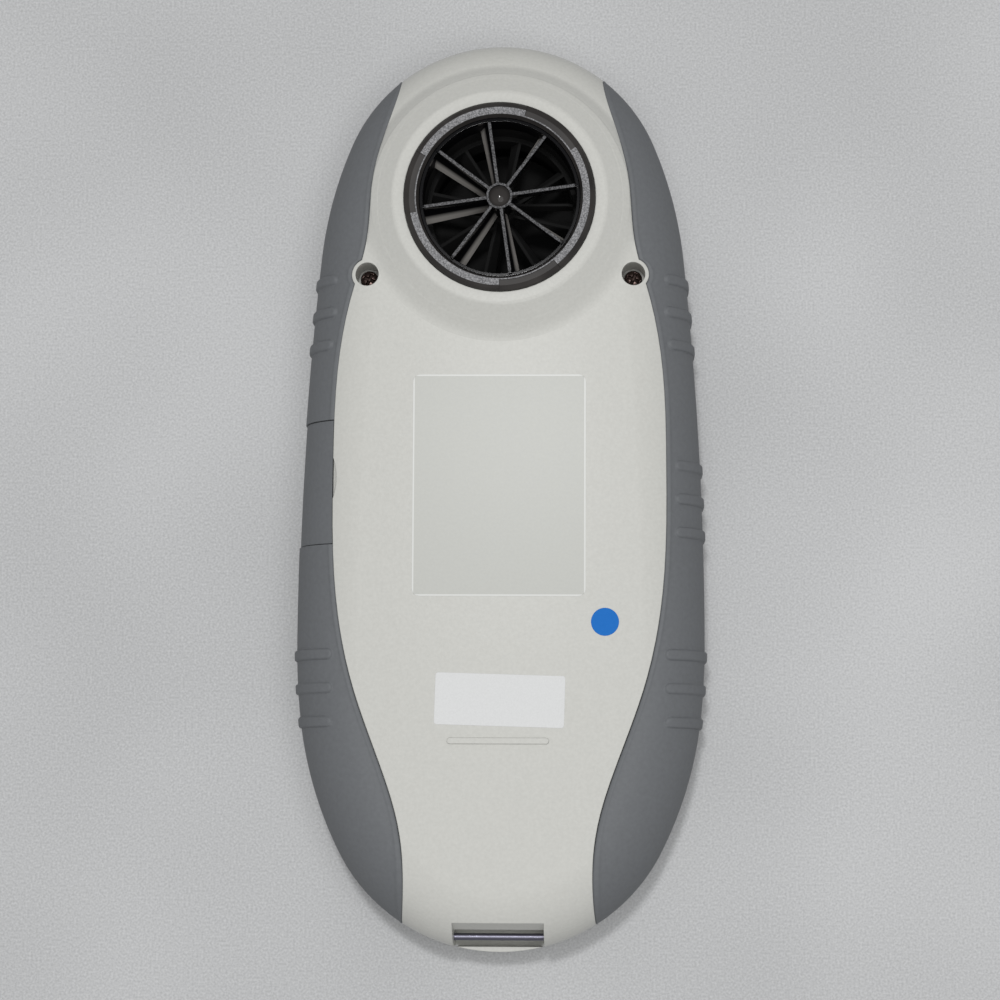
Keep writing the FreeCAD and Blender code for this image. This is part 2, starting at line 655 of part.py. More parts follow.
def panel_shape(low, high, grow):
    """Face panel's outline, cut straight across under the turbine."""
    plate = Part.Face(outline_wire(PANEL_INSET - grow, low)).extrude(UP * (high - low))
    top = PANEL_TOP_Y + grow
    plate = plate.common(box(-BODY_WIDTH, BODY_WIDTH, -BODY_LENGTH, top, low, high))
    corners = [e for e in plate.Edges if e.BoundBox.YMin > top - EDGE_TOLERANCE
               and e.BoundBox.ZLength > EDGE_TOLERANCE]
    return plate.makeFillet(PANEL_CORNER, corners)


def key_block(name, grow, low, high):
    """Outline of a key, grown all round."""
    x, y = KEY_PLACES[name]
    if name == "power_key":
        return disc(POWER_KEY_RADIUS + grow, low, high, Vector(x, y, 0))
    return rounded_block(KEY_WIDTH + 2 * grow, KEY_HEIGHT + 2 * grow, low, high,
                         KEY_CORNER + grow, x, y)


def window_block(grow, low, high):
    """Outline of the display window, grown all round."""
    corner = max(WINDOW_CORNER + grow, WINDOW_CORNER / 2)
    return rounded_block(WINDOW_WIDTH + 2 * grow, WINDOW_HEIGHT + 2 * grow, low, high, corner,
                         y=WINDOW_Y)


def front_shell(body):
    """Front half of the casing, with the board posts and the recesses of the face."""
    floor, above = FRONT_WALL - POST_ROOT, FRONT_WALL + OVERCUT
    collar = ring(SLEEVE_OUTER + SLEEVE_PLAY + SLEEVE_COLLAR_WALL, SLEEVE_OUTER + SLEEVE_PLAY, floor,
                  FRONT_WALL + SLEEVE_COLLAR_HEIGHT, AXIS)
    posts = [disc(BOARD_POST_RADIUS, floor, BOARD_Z, p) for p in board_points()]
    posts.append(case_posts(floor, PARTING_Z, CASE_RECESS_RADIUS + CASE_BOSS_WALL))
    posts.append(strap_block().common(front_of(PARTING_Z)))
    shell = body.common(front_of(PARTING_Z)).multiFuse(posts + [collar])
    cuts = [panel_shape(-OVERCUT, PANEL_SINK, PANEL_FIT),
            window_block(-WINDOW_LEDGE, 0, above),
            window_block(PANEL_FIT, 0, LENS_Z + WINDOW_THICKNESS + CONTACT_GAP),
            disc(SLEEVE_BORE + SLEEVE_PLAY, -OVERCUT, above, AXIS),
            case_posts(CASE_SEAT_Z - CASE_SHANK_LENGTH - OVERCUT, PARTING_Z + OVERCUT,
                       CASE_SHANK_RADIUS + SCREW_PLAY),
            strap_slot(), strap_pin_bar(STRAP_PIN_RADIUS + SCREW_PLAY), port_window(), hinge_room()]
    cuts += [key_block(name, KEY_FIT, 0, above) for name in KEY_PLACES]
    cuts += [disc(BOARD_SHANK_RADIUS + SCREW_PLAY, BOARD_Z - BOARD_SHANK_LENGTH, BOARD_Z + OVERCUT, p)
             for p in board_points()]
    for cut in cuts:
        shell = shell.cut(cut)
    return shell


def rib_bar(y):
    """Raised bar of one finger rib on the +X side, round at its inner end."""
    inner = max(SIDE_X - RIB_INSET, grip_edge_x(y) + RIB_EDGE_GAP) + RIB_WIDTH / 2
    high = BACK_Z + OVERCUT
    bar = box(inner, BODY_WIDTH, y - RIB_WIDTH / 2, y + RIB_WIDTH / 2, RIB_FRONT_Z, high)
    return bar.fuse(disc(RIB_WIDTH / 2, RIB_FRONT_Z, high, Vector(inner, y, 0)))


def grip(first_rows):
    """Side grip on the +X side with a group of ribs from each of first_rows on."""
    zone = grip_zone(GRIP_SEAM / 2)
    skin = envelope(0).cut(envelope(GRIP_SKIN)).cut(front_of(GRIP_FRONT_Z)).common(zone)
    skin = skin.cut(screw_rims(CASE_RECESS_RADIUS + CASE_RECESS_RIM + GRIP_SEAM))
    raised = envelope(-RIB_HEIGHT).cut(envelope(GRIP_SKIN / 2)).common(zone)
    bars = [rib_bar(row - n * RIB_PITCH) for row in first_rows for n in range(RIB_COUNT)]
    return skin.fuse(raised.common(fused(bars)))


def left_side_grip():
    body = mirrored(grip([UPPER_RIB_Y, LOWER_RIB_Y]))
    return body.cut(cover_zone(COVER_SEAM)).cut(hinge_room())


def port_door():
    """Port cover: a panel of the grip with its hinge barrel and two stub axles."""
    skin = envelope(COVER_INSET).cut(envelope(GRIP_SKIN)).common(cover_zone(0))
    return skin.multiFuse([hinge_bar(HINGE_RADIUS, 0), hinge_bar(AXLE_RADIUS, AXLE_LENGTH)])


def cross_slot(x, y, top):
    """Driver recess in a screw head."""
    long, short = DRIVER_SPAN / 2, DRIVER_SLOT / 2
    low, high = top - DRIVER_DEPTH, top + OVERCUT
    return box(x - long, x + long, y - short, y + short, low, high).fuse(
        box(x - short, x + short, y - long, y + long, low, high))


def screws(points, seat, head_radius, head_height, shank_radius, shank_length):
    """Identical pan-head screws, one solid each."""
    made = []
    top, tip = seat + head_height, seat - shank_length
    for p in points:
        screw = revolved([(0, tip), (shank_radius / 2, tip), (shank_radius, tip + SCREW_POINT),
                          (shank_radius, seat), (head_radius, seat),
                          (head_radius, seat + head_height * 2 / 3), (head_radius * 3 / 4, top), (0, top)], p)
        made.append(screw.cut(cross_slot(p.x, p.y, top)))
    return Part.makeCompound(made)


def turbine_tube():
    """Cartridge housing: tube, flange with three sunk sectors, and bayonet lugs."""
    top, front = TURBINE_TOP_Z, TURBINE_FRONT_Z
    inner = RING_OUTER + RING_RUN
    groove = SEAL_SECTION + CONTACT_GAP
    groove_radius = SLEEVE_BORE - 2 * groove
    body = revolved([
        (SOCKET_RADIUS, front + SOCKET_CHAMFER), (SOCKET_RADIUS + SOCKET_CHAMFER, front),
        (TUBE_RADIUS - TUBE_CHAMFER, front), (TUBE_RADIUS, front + TUBE_CHAMFER),
        (TUBE_RADIUS, SEAL_Z - groove), (groove_radius, SEAL_Z - groove),
        (groove_radius, SEAL_Z + groove), (TUBE_RADIUS, SEAL_Z + groove),
        (TUBE_RADIUS, FLANGE_Z), (FLANGE_RADIUS, FLANGE_Z), (FLANGE_RADIUS, top - FLANGE_EDGE),
        (FLANGE_RADIUS - FLANGE_EDGE, top), (BAND_INNER_RADIUS, top), (inner, REAR_RING_Z),
        (inner, SEAT_Z), (SOCKET_RADIUS, SEAT_Z)])
    lugs = [sector(TUBE_RADIUS + LUG_REACH, TUBE_RADIUS - TUBE_CHAMFER, LUG_Z, LUG_Z + LUG_HEIGHT,
                   LUG_START + n * 360 / LUG_COUNT, LUG_SPAN) for n in range(LUG_COUNT)]
    dents = [sector(FLANGE_RADIUS + OVERCUT, BAND_INNER_RADIUS + DENT_INSET, top - BAND_DENT,
                    top + OVERCUT, angle - DENT_SPAN / 2, DENT_SPAN) for angle in DENT_ANGLES]
    return body.multiFuse(lugs).cut(fused(dents))


def vane_section(radius, lean, straight, outer_z, inner_z):
    """Bent vane section at a radius, in the plane square to the radius: straight down from
    the outer edge, then leaning."""
    half = VANE_THICKNESS / 2
    bend_z = outer_z - straight
    points = [(-half, outer_z), (-half, bend_z), (lean - half, inner_z), (lean + half, inner_z),
              (half, bend_z), (half, outer_z)]
    return Part.makePolygon([Vector(radius, y, z) for y, z in points + points[:1]])


def swirler_vanes(outer_z, inner_z):
    """Bent vanes between hub and ring, lofted outwards from the hub."""
    vane = Part.makeLoft([
        vane_section(HUB_RADIUS - VANE_ROOT, VANE_LEAN_HUB, VANE_STRAIGHT_HUB, outer_z, inner_z),
        vane_section(RING_INNER + VANE_ROOT, VANE_LEAN_RIM, VANE_STRAIGHT_RIM, outer_z, inner_z)],
        True, True)
    vanes = []
    for n in range(VANE_COUNT):
        copy = vane.copy()
        copy.rotate(ORIGIN, UP, VANE_START + n * 360 / VANE_COUNT)
        copy.translate(AXIS)
        vanes.append(copy)
    return vanes


def swirler(proud, ring_inner):
    """Flow straightener at the back of the rotor, with its hub standing proud of its ring."""
    inner_z = ROTOR_Z + HUB_GAP
    top = REAR_RING_Z + proud
    wall = ring(RING_OUTER, ring_inner, inner_z + VANE_SETBACK, REAR_RING_Z, AXIS)
    hub = disc(HUB_RADIUS, inner_z, top, AXIS).cut(disc(HUB_CAP_RADIUS, top - HUB_CAP_DROP, top, AXIS))
    ball = (HUB_CAP_RADIUS ** 2 + HUB_CAP_DROP ** 2) / (2 * HUB_CAP_DROP)
    dome = Part.makeSphere(ball, AXIS + UP * (top - ball))
    dome = dome.common(disc(HUB_CAP_RADIUS, top - HUB_CAP_DROP - POST_ROOT, top, AXIS))
    body = hub.multiFuse(swirler_vanes(top - HUB_PROUD, inner_z + VANE_SETBACK) + [wall, dome])
    return body.cut(disc(BEARING_RADIUS, inner_z - OVERCUT, inner_z + BEARING_LENGTH, AXIS))


def rear_jewel():
    """Jewel bearing in the back swirler's hub, with a blind hole for the shaft."""
    low = ROTOR_Z + HUB_GAP
    hole = disc(SHAFT_RADIUS + SHAFT_RUN, low - OVERCUT, low + SHAFT_SEAT + SHAFT_END_PLAY, AXIS)
    return disc(BEARING_RADIUS, low, low + BEARING_LENGTH, AXIS).cut(hole)


def window_tube():
    """Clear ring round the rotor, between the two swirlers."""
    reach = HUB_GAP + VANE_SETBACK / 2
    return ring(RING_OUTER, RING_INNER, ROTOR_Z - reach, ROTOR_Z + reach, AXIS)


def flipped(shape):
    """Turned over about the rotor's mid height, so that it faces the other way."""
    copy = shape.copy()
    copy.rotate(Vector(0, TURBINE_Y, ROTOR_Z), Vector(1, 0, 0), 180)
    return copy


def rotor_blade():
    """Flat two-armed vane with a thicker middle that the shaft passes through."""
    half, y = RING_INNER - BLADE_CLEARANCE, BLADE_THICKNESS / 2
    low, high = ROTOR_Z - BLADE_HEIGHT / 2, ROTOR_Z + BLADE_HEIGHT / 2
    wing = box(-half, half, TURBINE_Y - y, TURBINE_Y + y, low, high)
    tips = [e for e in wing.Edges if e.BoundBox.XLength < EDGE_TOLERANCE
            and e.BoundBox.YLength > EDGE_TOLERANCE]
    blade = wing.makeFillet(BLADE_TIP_ROUND, tips)
    blade = blade.fuse(disc(SHAFT_RADIUS + ROTOR_HUB_WALL, low, high, AXIS))
    return blade.cut(disc(SHAFT_RADIUS, low, high, AXIS))


def rotor_axle():
    """Shaft with a pointed end in each jewel."""
    low, high = ROTOR_Z - HUB_GAP - SHAFT_SEAT, ROTOR_Z + HUB_GAP + SHAFT_SEAT
    nose = SHAFT_RADIUS - SHAFT_POINT
    return revolved([(0, low), (nose, low), (SHAFT_RADIUS, low + SHAFT_POINT),
                     (SHAFT_RADIUS, high - SHAFT_POINT), (nose, high), (0, high)])


def seal_ring():
    radius = SLEEVE_BORE - SEAL_SECTION - CONTACT_GAP
    return Part.makeTorus(radius, SEAL_SECTION, Vector(0, TURBINE_Y, SEAL_Z), UP)


def radial_bar(radius, first, last, angle):
    """Cylinder that lies along a radius of the turbine at the rotor's height."""
    direction = Vector(cosine(angle), sine(angle), 0)
    base = Vector(0, TURBINE_Y, ROTOR_Z) + first * direction
    return Part.makeCylinder(radius, last - first, base, direction)


def sleeve():
    """Tube that takes the cartridge and carries the sensor ring."""
    body = ring(SLEEVE_OUTER, SLEEVE_BORE, FRONT_WALL + CONTACT_GAP, SLEEVE_TOP_Z - CONTACT_GAP, AXIS)
    shelf_z = SENSOR_SHELF_Z - BOARD_THICKNESS
    shelf = ring(SLEEVE_OUTER + SHELF_REACH, SLEEVE_BORE + SLEEVE_WALL / 2, shelf_z - SHELF_THICKNESS,
                 shelf_z, AXIS)
    body = body.fuse(shelf).cut(lug_slots())
    for angles in SENSOR_ANGLES.values():
        for angle in angles:
            body = body.cut(radial_bar(SENSOR_WINDOW_RADIUS, SLEEVE_BORE - OVERCUT,
                                       SLEEVE_OUTER + OVERCUT, angle))
    return body


def sensors(angles):
    """Light emitters or receivers on the sensor ring, one solid each."""
    made = []
    first = SLEEVE_OUTER + CONTACT_GAP
    last = first + SENSOR_LENGTH
    for angle in angles:
        foot = box(first + SENSOR_LENS, last, -SENSOR_RADIUS, SENSOR_RADIUS,
                   SENSOR_SHELF_Z + CONTACT_GAP, ROTOR_Z)
        foot.rotate(ORIGIN, UP, angle)
        foot.translate(AXIS)
        made.append(radial_bar(SENSOR_RADIUS, first, last, angle).fuse(foot))
    return Part.makeCompound(made)


def sensor_ring_board():
    low = SENSOR_SHELF_Z - BOARD_THICKNESS + CONTACT_GAP
    return ring(SLEEVE_OUTER + SENSOR_BOARD_REACH, SLEEVE_OUTER + SLEEVE_PLAY, low, SENSOR_SHELF_Z, AXIS)


def circuit_board():
    length = BOARD_TOP_Y - BOARD_BOTTOM_Y
    plate = rounded_block(BOARD_WIDTH, length, BOARD_Z + CONTACT_GAP, BOARD_TOP_Z, BOARD_CORNER,
                          y=(BOARD_TOP_Y + BOARD_BOTTOM_Y) / 2)
    for point in board_points():
        plate = plate.cut(disc(BOARD_SHANK_RADIUS + BOARD_HOLE_PLAY, BOARD_Z, BOARD_TOP_Z + OVERCUT, point))
    return plate


def lcd_carrier():
    """Frame that holds the display panel between the window's ledge and the board."""
    body = rounded_block(WINDOW_WIDTH + 2 * FRAME_WALL, WINDOW_HEIGHT + 2 * FRAME_WALL, FRAME_Z, BOARD_Z,
                         WINDOW_CORNER, y=WINDOW_Y)
    hollow = rounded_block(WINDOW_WIDTH - 2 * FRAME_LEDGE, WINDOW_HEIGHT - 2 * FRAME_LEDGE,
                           FRAME_Z + FRAME_FLOOR, BOARD_Z + OVERCUT, FRAME_CORNER, y=WINDOW_Y)
    return body.cut(hollow)


def display_cell():
    return rounded_block(WINDOW_WIDTH - 2 * LCD_INSET, WINDOW_HEIGHT - 2 * LCD_INSET, LCD_Z,
                         LCD_Z + LCD_THICKNESS, LCD_CORNER, y=WINDOW_Y)


def face_plate():
    """Printed face panel, open for the display window and the keys."""
    panel = panel_shape(LENS_Z, PANEL_SINK, 0).cut(window_block(PANEL_FIT, 0, FRONT_WALL))
    for name in KEY_PLACES:
        panel = panel.cut(key_block(name, KEY_FIT, 0, FRONT_WALL))
    return panel


def key_cap(name):
    """Key cap with its flange behind the face and the post that presses the switch."""
    x, y = KEY_PLACES[name]
    back = FRONT_WALL + CONTACT_GAP
    cap = key_block(name, 0, KEY_FLOOR_GAP, back)
    face = [e for e in cap.Edges if e.BoundBox.ZMax < KEY_FLOOR_GAP + EDGE_TOLERANCE]
    flange = key_block(name, KEY_FLANGE, back, back + KEY_FLANGE_HEIGHT)
    post = disc(KEY_POST_RADIUS, back, SWITCH_TOP_Z - KEY_TRAVEL - KEY_POST_GAP, Vector(x, y, 0))
    return cap.makeFillet(KEY_EDGE_ROUND, face).multiFuse([flange, post])


def switches():
    """Tall key switches on the board, one behind each key."""
    made = []
    half = SWITCH_SIZE / 2
    for x, y in KEY_PLACES.values():
        case = box(x - half, x + half, y - half, y + half, SWITCH_TOP_Z + PLUNGER_HEIGHT, BOARD_Z)
        made.append(case.fuse(disc(SWITCH_PLUNGER, SWITCH_TOP_Z, BOARD_Z, Vector(x, y, 0))))
    return Part.makeCompound(made)


def usb_socket():
    """Metal shell on the board with a tongue in its mouth."""
    front, back = -USB_FACE_X, USB_LENGTH - USB_FACE_X
    low, high = BOARD_TOP_Z + CONTACT_GAP, BOARD_TOP_Z + USB_HEIGHT
    half, inner = USB_WIDTH / 2, USB_WIDTH / 2 - USB_SHELL
    shell = box(front, back, PORT_Y - half, PORT_Y + half, low, high)
    mouth = box(front - OVERCUT, back - USB_BACK_WALL, PORT_Y - inner, PORT_Y + inner,
                low + USB_SHELL, high - USB_SHELL)
    y, z = USB_TONGUE_WIDTH / 2, USB_TONGUE_THICKNESS / 2
    tongue = box(front + USB_TONGUE_SETBACK, back, PORT_Y - y, PORT_Y + y, USB_CENTRE_Z - z, USB_CENTRE_Z + z)
    return shell.cut(mouth).fuse(tongue)


def on_board(width, length, height, x, y):
    """Square part on the back of the circuit board."""
    low = BOARD_TOP_Z + CONTACT_GAP
    return box(x - width / 2, x + width / 2, y - length / 2, y + length / 2, low, low + height)


def battery_cell():
    return rounded_block(BATTERY_WIDTH, BATTERY_LENGTH, BATTERY_TOP_Z - BATTERY_THICKNESS, BATTERY_TOP_Z,
                         BATTERY_CORNER, BATTERY_X, BATTERY_Y)


def foam_pad():
    low = BATTERY_TOP_Z + CONTACT_GAP
    return rounded_block(BATTERY_WIDTH - 2 * PAD_INSET, BATTERY_LENGTH - 2 * PAD_INSET, low,
                         low + PAD_THICKNESS, BATTERY_CORNER, BATTERY_X, BATTERY_Y)


def battery_wires():
    """Two wires between the cell and its plug, each a straight, two bends and a straight."""
    start_y = BATTERY_Y + BATTERY_LENGTH / 2 + CONTACT_GAP
    start_z = BATTERY_TOP_Z - BATTERY_THICKNESS / 2
    end_y = PLUG_Y - PLUG_LENGTH / 2 - CONTACT_GAP
    end_z = BOARD_TOP_Z + CONTACT_GAP + PLUG_HEIGHT / 2
    bend = (start_z - end_z) / 2
    middle = (start_y + end_y) / 2
    chord = bend * (1 - cosine(45))
    wires = []
    for side in (-0.5, 0.5):
        x = PLUG_X + side * LEAD_PITCH
        a, b = Vector(x, start_y, start_z), Vector(x, middle - bend, start_z)
        c = Vector(x, middle, start_z - bend)
        d, e = Vector(x, middle + bend, end_z), Vector(x, end_y, end_z)
        first = Vector(x, middle - chord, start_z - chord)
        second = Vector(x, middle + chord, end_z + chord)
        path = Part.Wire([Part.makeLine(a, b), Part.Arc(b, first, c).toShape(),
                          Part.Arc(c, second, d).toShape(), Part.makeLine(d, e)])
        section = Part.Wire(Part.makeCircle(LEAD_RADIUS, a, Vector(0, 1, 0)))
        wires.append(path.makePipeShell([section], True, True))
    return Part.makeCompound(wires)


def casing_parts():
    pockets = grip_pockets()
    body = shell_body(pockets)
    return {
        "back_cover": back_shell(body, pockets),
        "front_cover": front_shell(body),
        "right_grip": grip([UPPER_RIB_Y, MIDDLE_RIB_Y, LOWER_RIB_Y]),
        "left_grip": left_side_grip(),
        "port_cover": port_door(),
        "strap_pin": strap_pin_bar(STRAP_PIN_RADIUS),
        "case_screws": screws(case_screw_points(), CASE_SEAT_Z, CASE_HEAD_RADIUS, CASE_HEAD_HEIGHT,
                              CASE_SHANK_RADIUS, CASE_SHANK_LENGTH),
    }


def turbine_parts():
    return {
        "turbine_housing": turbine_tube(),
        "rear_swirler": swirler(RING_SETBACK, RING_INNER),
        "front_swirler": flipped(swirler(0, SOCKET_RADIUS - SOCKET_STOP)),
        "rear_bearing": rear_jewel(),
        "front_bearing": flipped(rear_jewel()),
        "window_ring": window_tube(),
        "turbine_seal": seal_ring(),
        "rotor_vane": rotor_blade(),
        "rotor_shaft": rotor_axle(),
        "sensor_sleeve": sleeve(),
        "sensor_board": sensor_ring_board(),
        "ir_emitters": sensors(SENSOR_ANGLES["ir_emitters"]),
        "ir_receivers": sensors(SENSOR_ANGLES["ir_receivers"]),
    }


def face_parts():
    parts = {
        "face_panel": face_plate(),
        "display_window": window_block(0, LENS_Z, LENS_Z + WINDOW_THICKNESS),
        "lcd_panel": display_cell(),
        "lcd_frame": lcd_carrier(),
        "key_switches": switches(),
    }
    for name in KEY_PLACES:
        parts[name] = key_cap(name)
    return parts


def electronic_parts():
    return {
        "main_board": circuit_board(),
        "board_screws": screws(board_points(), BOARD_TOP_Z + CONTACT_GAP, BOARD_HEAD_RADIUS,
                               BOARD_HEAD_HEIGHT, BOARD_SHANK_RADIUS, BOARD_SHANK_LENGTH),
        "usb_connector": usb_socket(),
        "processor": on_board(*PROCESSOR),
        "radio_module": on_board(*RADIO_MODULE),
        "buzzer": disc(BUZZER_RADIUS, BOARD_TOP_Z + CONTACT_GAP, BOARD_TOP_Z + BUZZER_HEIGHT,
                       Vector(0, BUZZER_Y, 0)),
        "battery_pack": battery_cell(),
        "battery_pad": foam_pad(),
        "battery_lead": battery_wires(),
        "battery_plug": on_board(PLUG_WIDTH, PLUG_LENGTH, PLUG_HEIGHT, PLUG_X, PLUG_Y),
    }


def save(name, shape):
    """One STEP file for a named piece, its faces merged where they run on."""
    if shape.ShapeType != "Compound" or len(shape.Solids) == 1:
        shape = shape.removeSplitter()
    shape.exportStep("parts/" + name + ".step")
    print(name, len(shape.Solids), round(shape.Volume, 1), shape.isValid())


os.makedirs("parts", exist_ok=True)
for group in (casing_parts(), turbine_parts(), face_parts(), electronic_parts()):
    for node, piece in group.items():
        save(node, piece)
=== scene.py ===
import json
import bpy
import numpy as np
from mathutils import Matrix, Vector


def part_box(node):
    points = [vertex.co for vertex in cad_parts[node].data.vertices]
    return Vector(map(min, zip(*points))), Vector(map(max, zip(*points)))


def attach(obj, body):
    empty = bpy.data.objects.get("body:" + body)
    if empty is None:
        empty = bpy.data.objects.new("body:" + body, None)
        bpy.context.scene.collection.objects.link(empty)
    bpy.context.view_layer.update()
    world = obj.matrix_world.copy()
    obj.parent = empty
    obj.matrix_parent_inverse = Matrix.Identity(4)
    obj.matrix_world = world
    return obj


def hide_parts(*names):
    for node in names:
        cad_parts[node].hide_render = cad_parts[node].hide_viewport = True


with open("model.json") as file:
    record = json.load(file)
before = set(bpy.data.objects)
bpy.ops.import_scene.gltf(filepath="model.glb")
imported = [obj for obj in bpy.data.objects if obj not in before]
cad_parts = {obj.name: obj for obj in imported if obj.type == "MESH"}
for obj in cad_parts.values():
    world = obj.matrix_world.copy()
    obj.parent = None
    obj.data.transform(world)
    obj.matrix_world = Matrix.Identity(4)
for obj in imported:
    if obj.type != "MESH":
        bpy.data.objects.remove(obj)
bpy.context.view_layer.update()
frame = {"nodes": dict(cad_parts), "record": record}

mm = 0.001
turbineY = 56.0            # the turbine's axis, millimetres
screwPlace = (26.0, 41.7)  # the right-hand screw; the other mirrors it
sharpAngle = 50.0          # degrees: edges steeper than this stay crisp in smooth shading


def feed(tree, plug, value):  # a link, a colour or a number into one socket
    if isinstance(value, Wire):
        tree.links.new(value.socket, plug)
    elif isinstance(value, (tuple, list)) and len(value) == 3 and plug.type == "RGBA":
        plug.default_value = (*value, 1.0)
    else:
        plug.default_value = value


class Wire:  # one socket of a node tree, so that shader maths reads as plain expressions
    def __init__(self, tree, socket):
        self.tree = tree
        self.socket = socket

    def part(self, name):
        node = self.tree.nodes.new("ShaderNodeSeparateXYZ")
        feed(self.tree, node.inputs[0], self)
        return Wire(self.tree, node.outputs[name])

    def math(self, operation, *values):
        node = self.tree.nodes.new("ShaderNodeMath")
        node.operation = operation
        for plug, value in zip(node.inputs, values):
            feed(self.tree, plug, value)
        return Wire(self.tree, node.outputs[0])

    def __add__(self, other):
        return self.math("ADD", self, other)

    def __radd__(self, other):
        return self.math("ADD", other, self)

    def __sub__(self, other):
        return self.math("SUBTRACT", self, other)

    def __rsub__(self, other):
        return self.math("SUBTRACT", other, self)

    def __mul__(self, other):
        return self.math("MULTIPLY", self, other)

    def __rmul__(self, other):
        return self.math("MULTIPLY", other, self)

    def __truediv__(self, other):
        return self.math("DIVIDE", self, other)

    def __pow__(self, other):
        return self.math("POWER", self, other)

    def __abs__(self):
        return self.math("ABSOLUTE", self)

    def __gt__(self, other):
        return self.math("GREATER_THAN", self, other)

    def __lt__(self, other):
        return self.math("LESS_THAN", self, other)

    def atLeast(self, other):
        return self.math("MAXIMUM", self, other)

    def limit(self):  # to 0..1
        return self.math("MINIMUM", self.atLeast(0.0), 1.0)


def sRgb(red, green, blue):  # 0..255 screen values to linear light
    shade = np.array([red, green, blue]) / 255.0
    linear = np.where(shade > 0.04045, ((shade + 0.055) / 1.055) ** 2.4, shade / 12.92)
    return tuple(float(v) for v in linear)


class Finish:  # one material and its nodes
    def __init__(self, name, **constants):
        self.material = bpy.data.materials.new(name)
        self.material.use_nodes = True
        self.tree = self.material.node_tree
        self.shader = self.tree.nodes["Principled BSDF"]
        self.set(**constants)

    def node(self, kind, settings, links, output=0):  # any node: its settings, then its sockets
        made = self.tree.nodes.new("ShaderNode" + kind)
        for key, value in settings.items():
            setattr(made, key, value)
        for key, value in links.items():
            feed(self.tree, made.inputs[key], value)
        return Wire(self.tree, made.outputs[output])

    def place(self):  # object coordinates
        return self.node("TexCoord", {}, {}, "Object")

    def noise(self, size, detail=2.0):  # grain of about size millimetres
        links = {"Vector": self.place(), "Scale": 1 / (size * mm), "Detail": detail}
        return self.node("TexNoise", {}, links, "Fac")

    def mix(self, factor, first, second):
        settings = {"data_type": "RGBA"}
        return self.node("Mix", settings, {0: factor, 6: first, 7: second}, 2)

    def bump(self, height, depth, edge):  # millimetres; edge softens sharp corners
        soft = self.node("Bevel", {"samples": 6}, {"Radius": edge * mm})
        links = {"Height": height, "Distance": depth * mm, "Strength": 1.0, "Normal": soft}
        return self.node("Bump", {}, links)

    def set(self, **values):
        for key, value in values.items():
            feed(self.tree, self.shader.inputs[key.replace("_", " ")], value)
        return self.material


def fullTurn(steps):  # angles once round, the last a step short of the first
    return np.linspace(0, 2 * np.pi, steps, endpoint=False)


def bandFaces(rows, columns):
    # Quads between rings of points, each ring's last point joined to its first.
    near = np.arange(columns)
    far = (near + 1) % columns
    row = np.arange(rows - 1)[:, None] * columns
    quads = np.stack([row + near, row + far, row + columns + far, row + columns + near], -1)
    return quads.reshape(-1, 4)


def tube(loops):
    # loops[i, j]: closed section i, point j. The sections are joined and both ends are capped.
    rows, columns = loops.shape[:2]
    ring = np.arange(columns)
    caps = np.stack([ring[::-1], ring + (rows - 1) * columns])
    return loops.reshape(-1, 3), [bandFaces(rows, columns), caps]


def hoop(loops):
    # Closed sections all the way round, the last joined to the first.
    rows, columns = loops.shape[:2]
    return loops.reshape(-1, 3), [bandFaces(rows + 1, columns) % (rows * columns)]


def buildPiece(name, shells, smooth=True):
    # One object from closed shells, each its points in millimetres and its arrays of faces.
    points, faces, start = [], [], 0
    for shellPoints, arrays in shells:
        points.append(shellPoints * mm)
        for array in arrays:
            faces += (array + start).tolist()
        start += len(shellPoints)
    mesh = bpy.data.meshes.new(name)
    mesh.from_pydata(np.concatenate(points).tolist(), [], faces)
    mesh.validate()
    mesh.polygons.foreach_set("use_smooth", [smooth] * len(mesh.polygons))
    mesh.set_sharp_from_angle(angle=np.radians(sharpAngle))
    piece = bpy.data.objects.new(name, mesh)
    bpy.context.scene.collection.objects.link(piece)
    return piece


cameraView = {
    "focal": 3.0,                          # times the picture's width
    "foot": (0.608, 0.827),                # straight below the camera, in picture widths
    "place": (0.0211, -0.0654, 0.604),     # metres
    "roll": -0.0368,                       # degrees
    "sensor": 36.0,
}


def addCamera(view):
    # The line to the foot point is straight down, and the picture's up is +Y.
    down = Vector((view["foot"][0] - 0.5, 0.5 - view["foot"][1], -view["focal"])).normalized()
    axisZ = -down
    axisY = (Vector((0, 1, 0)) - axisZ * axisZ.y).normalized()
    axisX = axisY.cross(axisZ)
    turn = np.radians(view["roll"])
    rolledX = axisX * np.cos(turn) + axisY * np.sin(turn)
    rolledY = axisY * np.cos(turn) - axisX * np.sin(turn)
    rotation = Matrix((rolledX, rolledY, axisZ))
    data = bpy.data.cameras.new("photo_camera")
    data.sensor_width = view["sensor"]
    data.lens = view["focal"] * view["sensor"]
    camera = bpy.data.objects.new("photo_camera", data)
    camera.matrix_world = Matrix.Translation(view["place"]) @ rotation.to_4x4()
    bpy.context.scene.collection.objects.link(camera)
    bpy.context.scene.camera = camera


addCamera(cameraView)
bpy.context.scene.view_settings.view_transform = "Standard"
print("camera ready")

roomLight = {                              # metres and watts
    "key": {"place": (-0.021, 0.16, 1.1), "size": 0.1, "power": 3.5},
    "fill": {"place": (0.12, -0.16, 1.1), "size": 0.7, "power": 3.9},
    "world": 0.34,
}


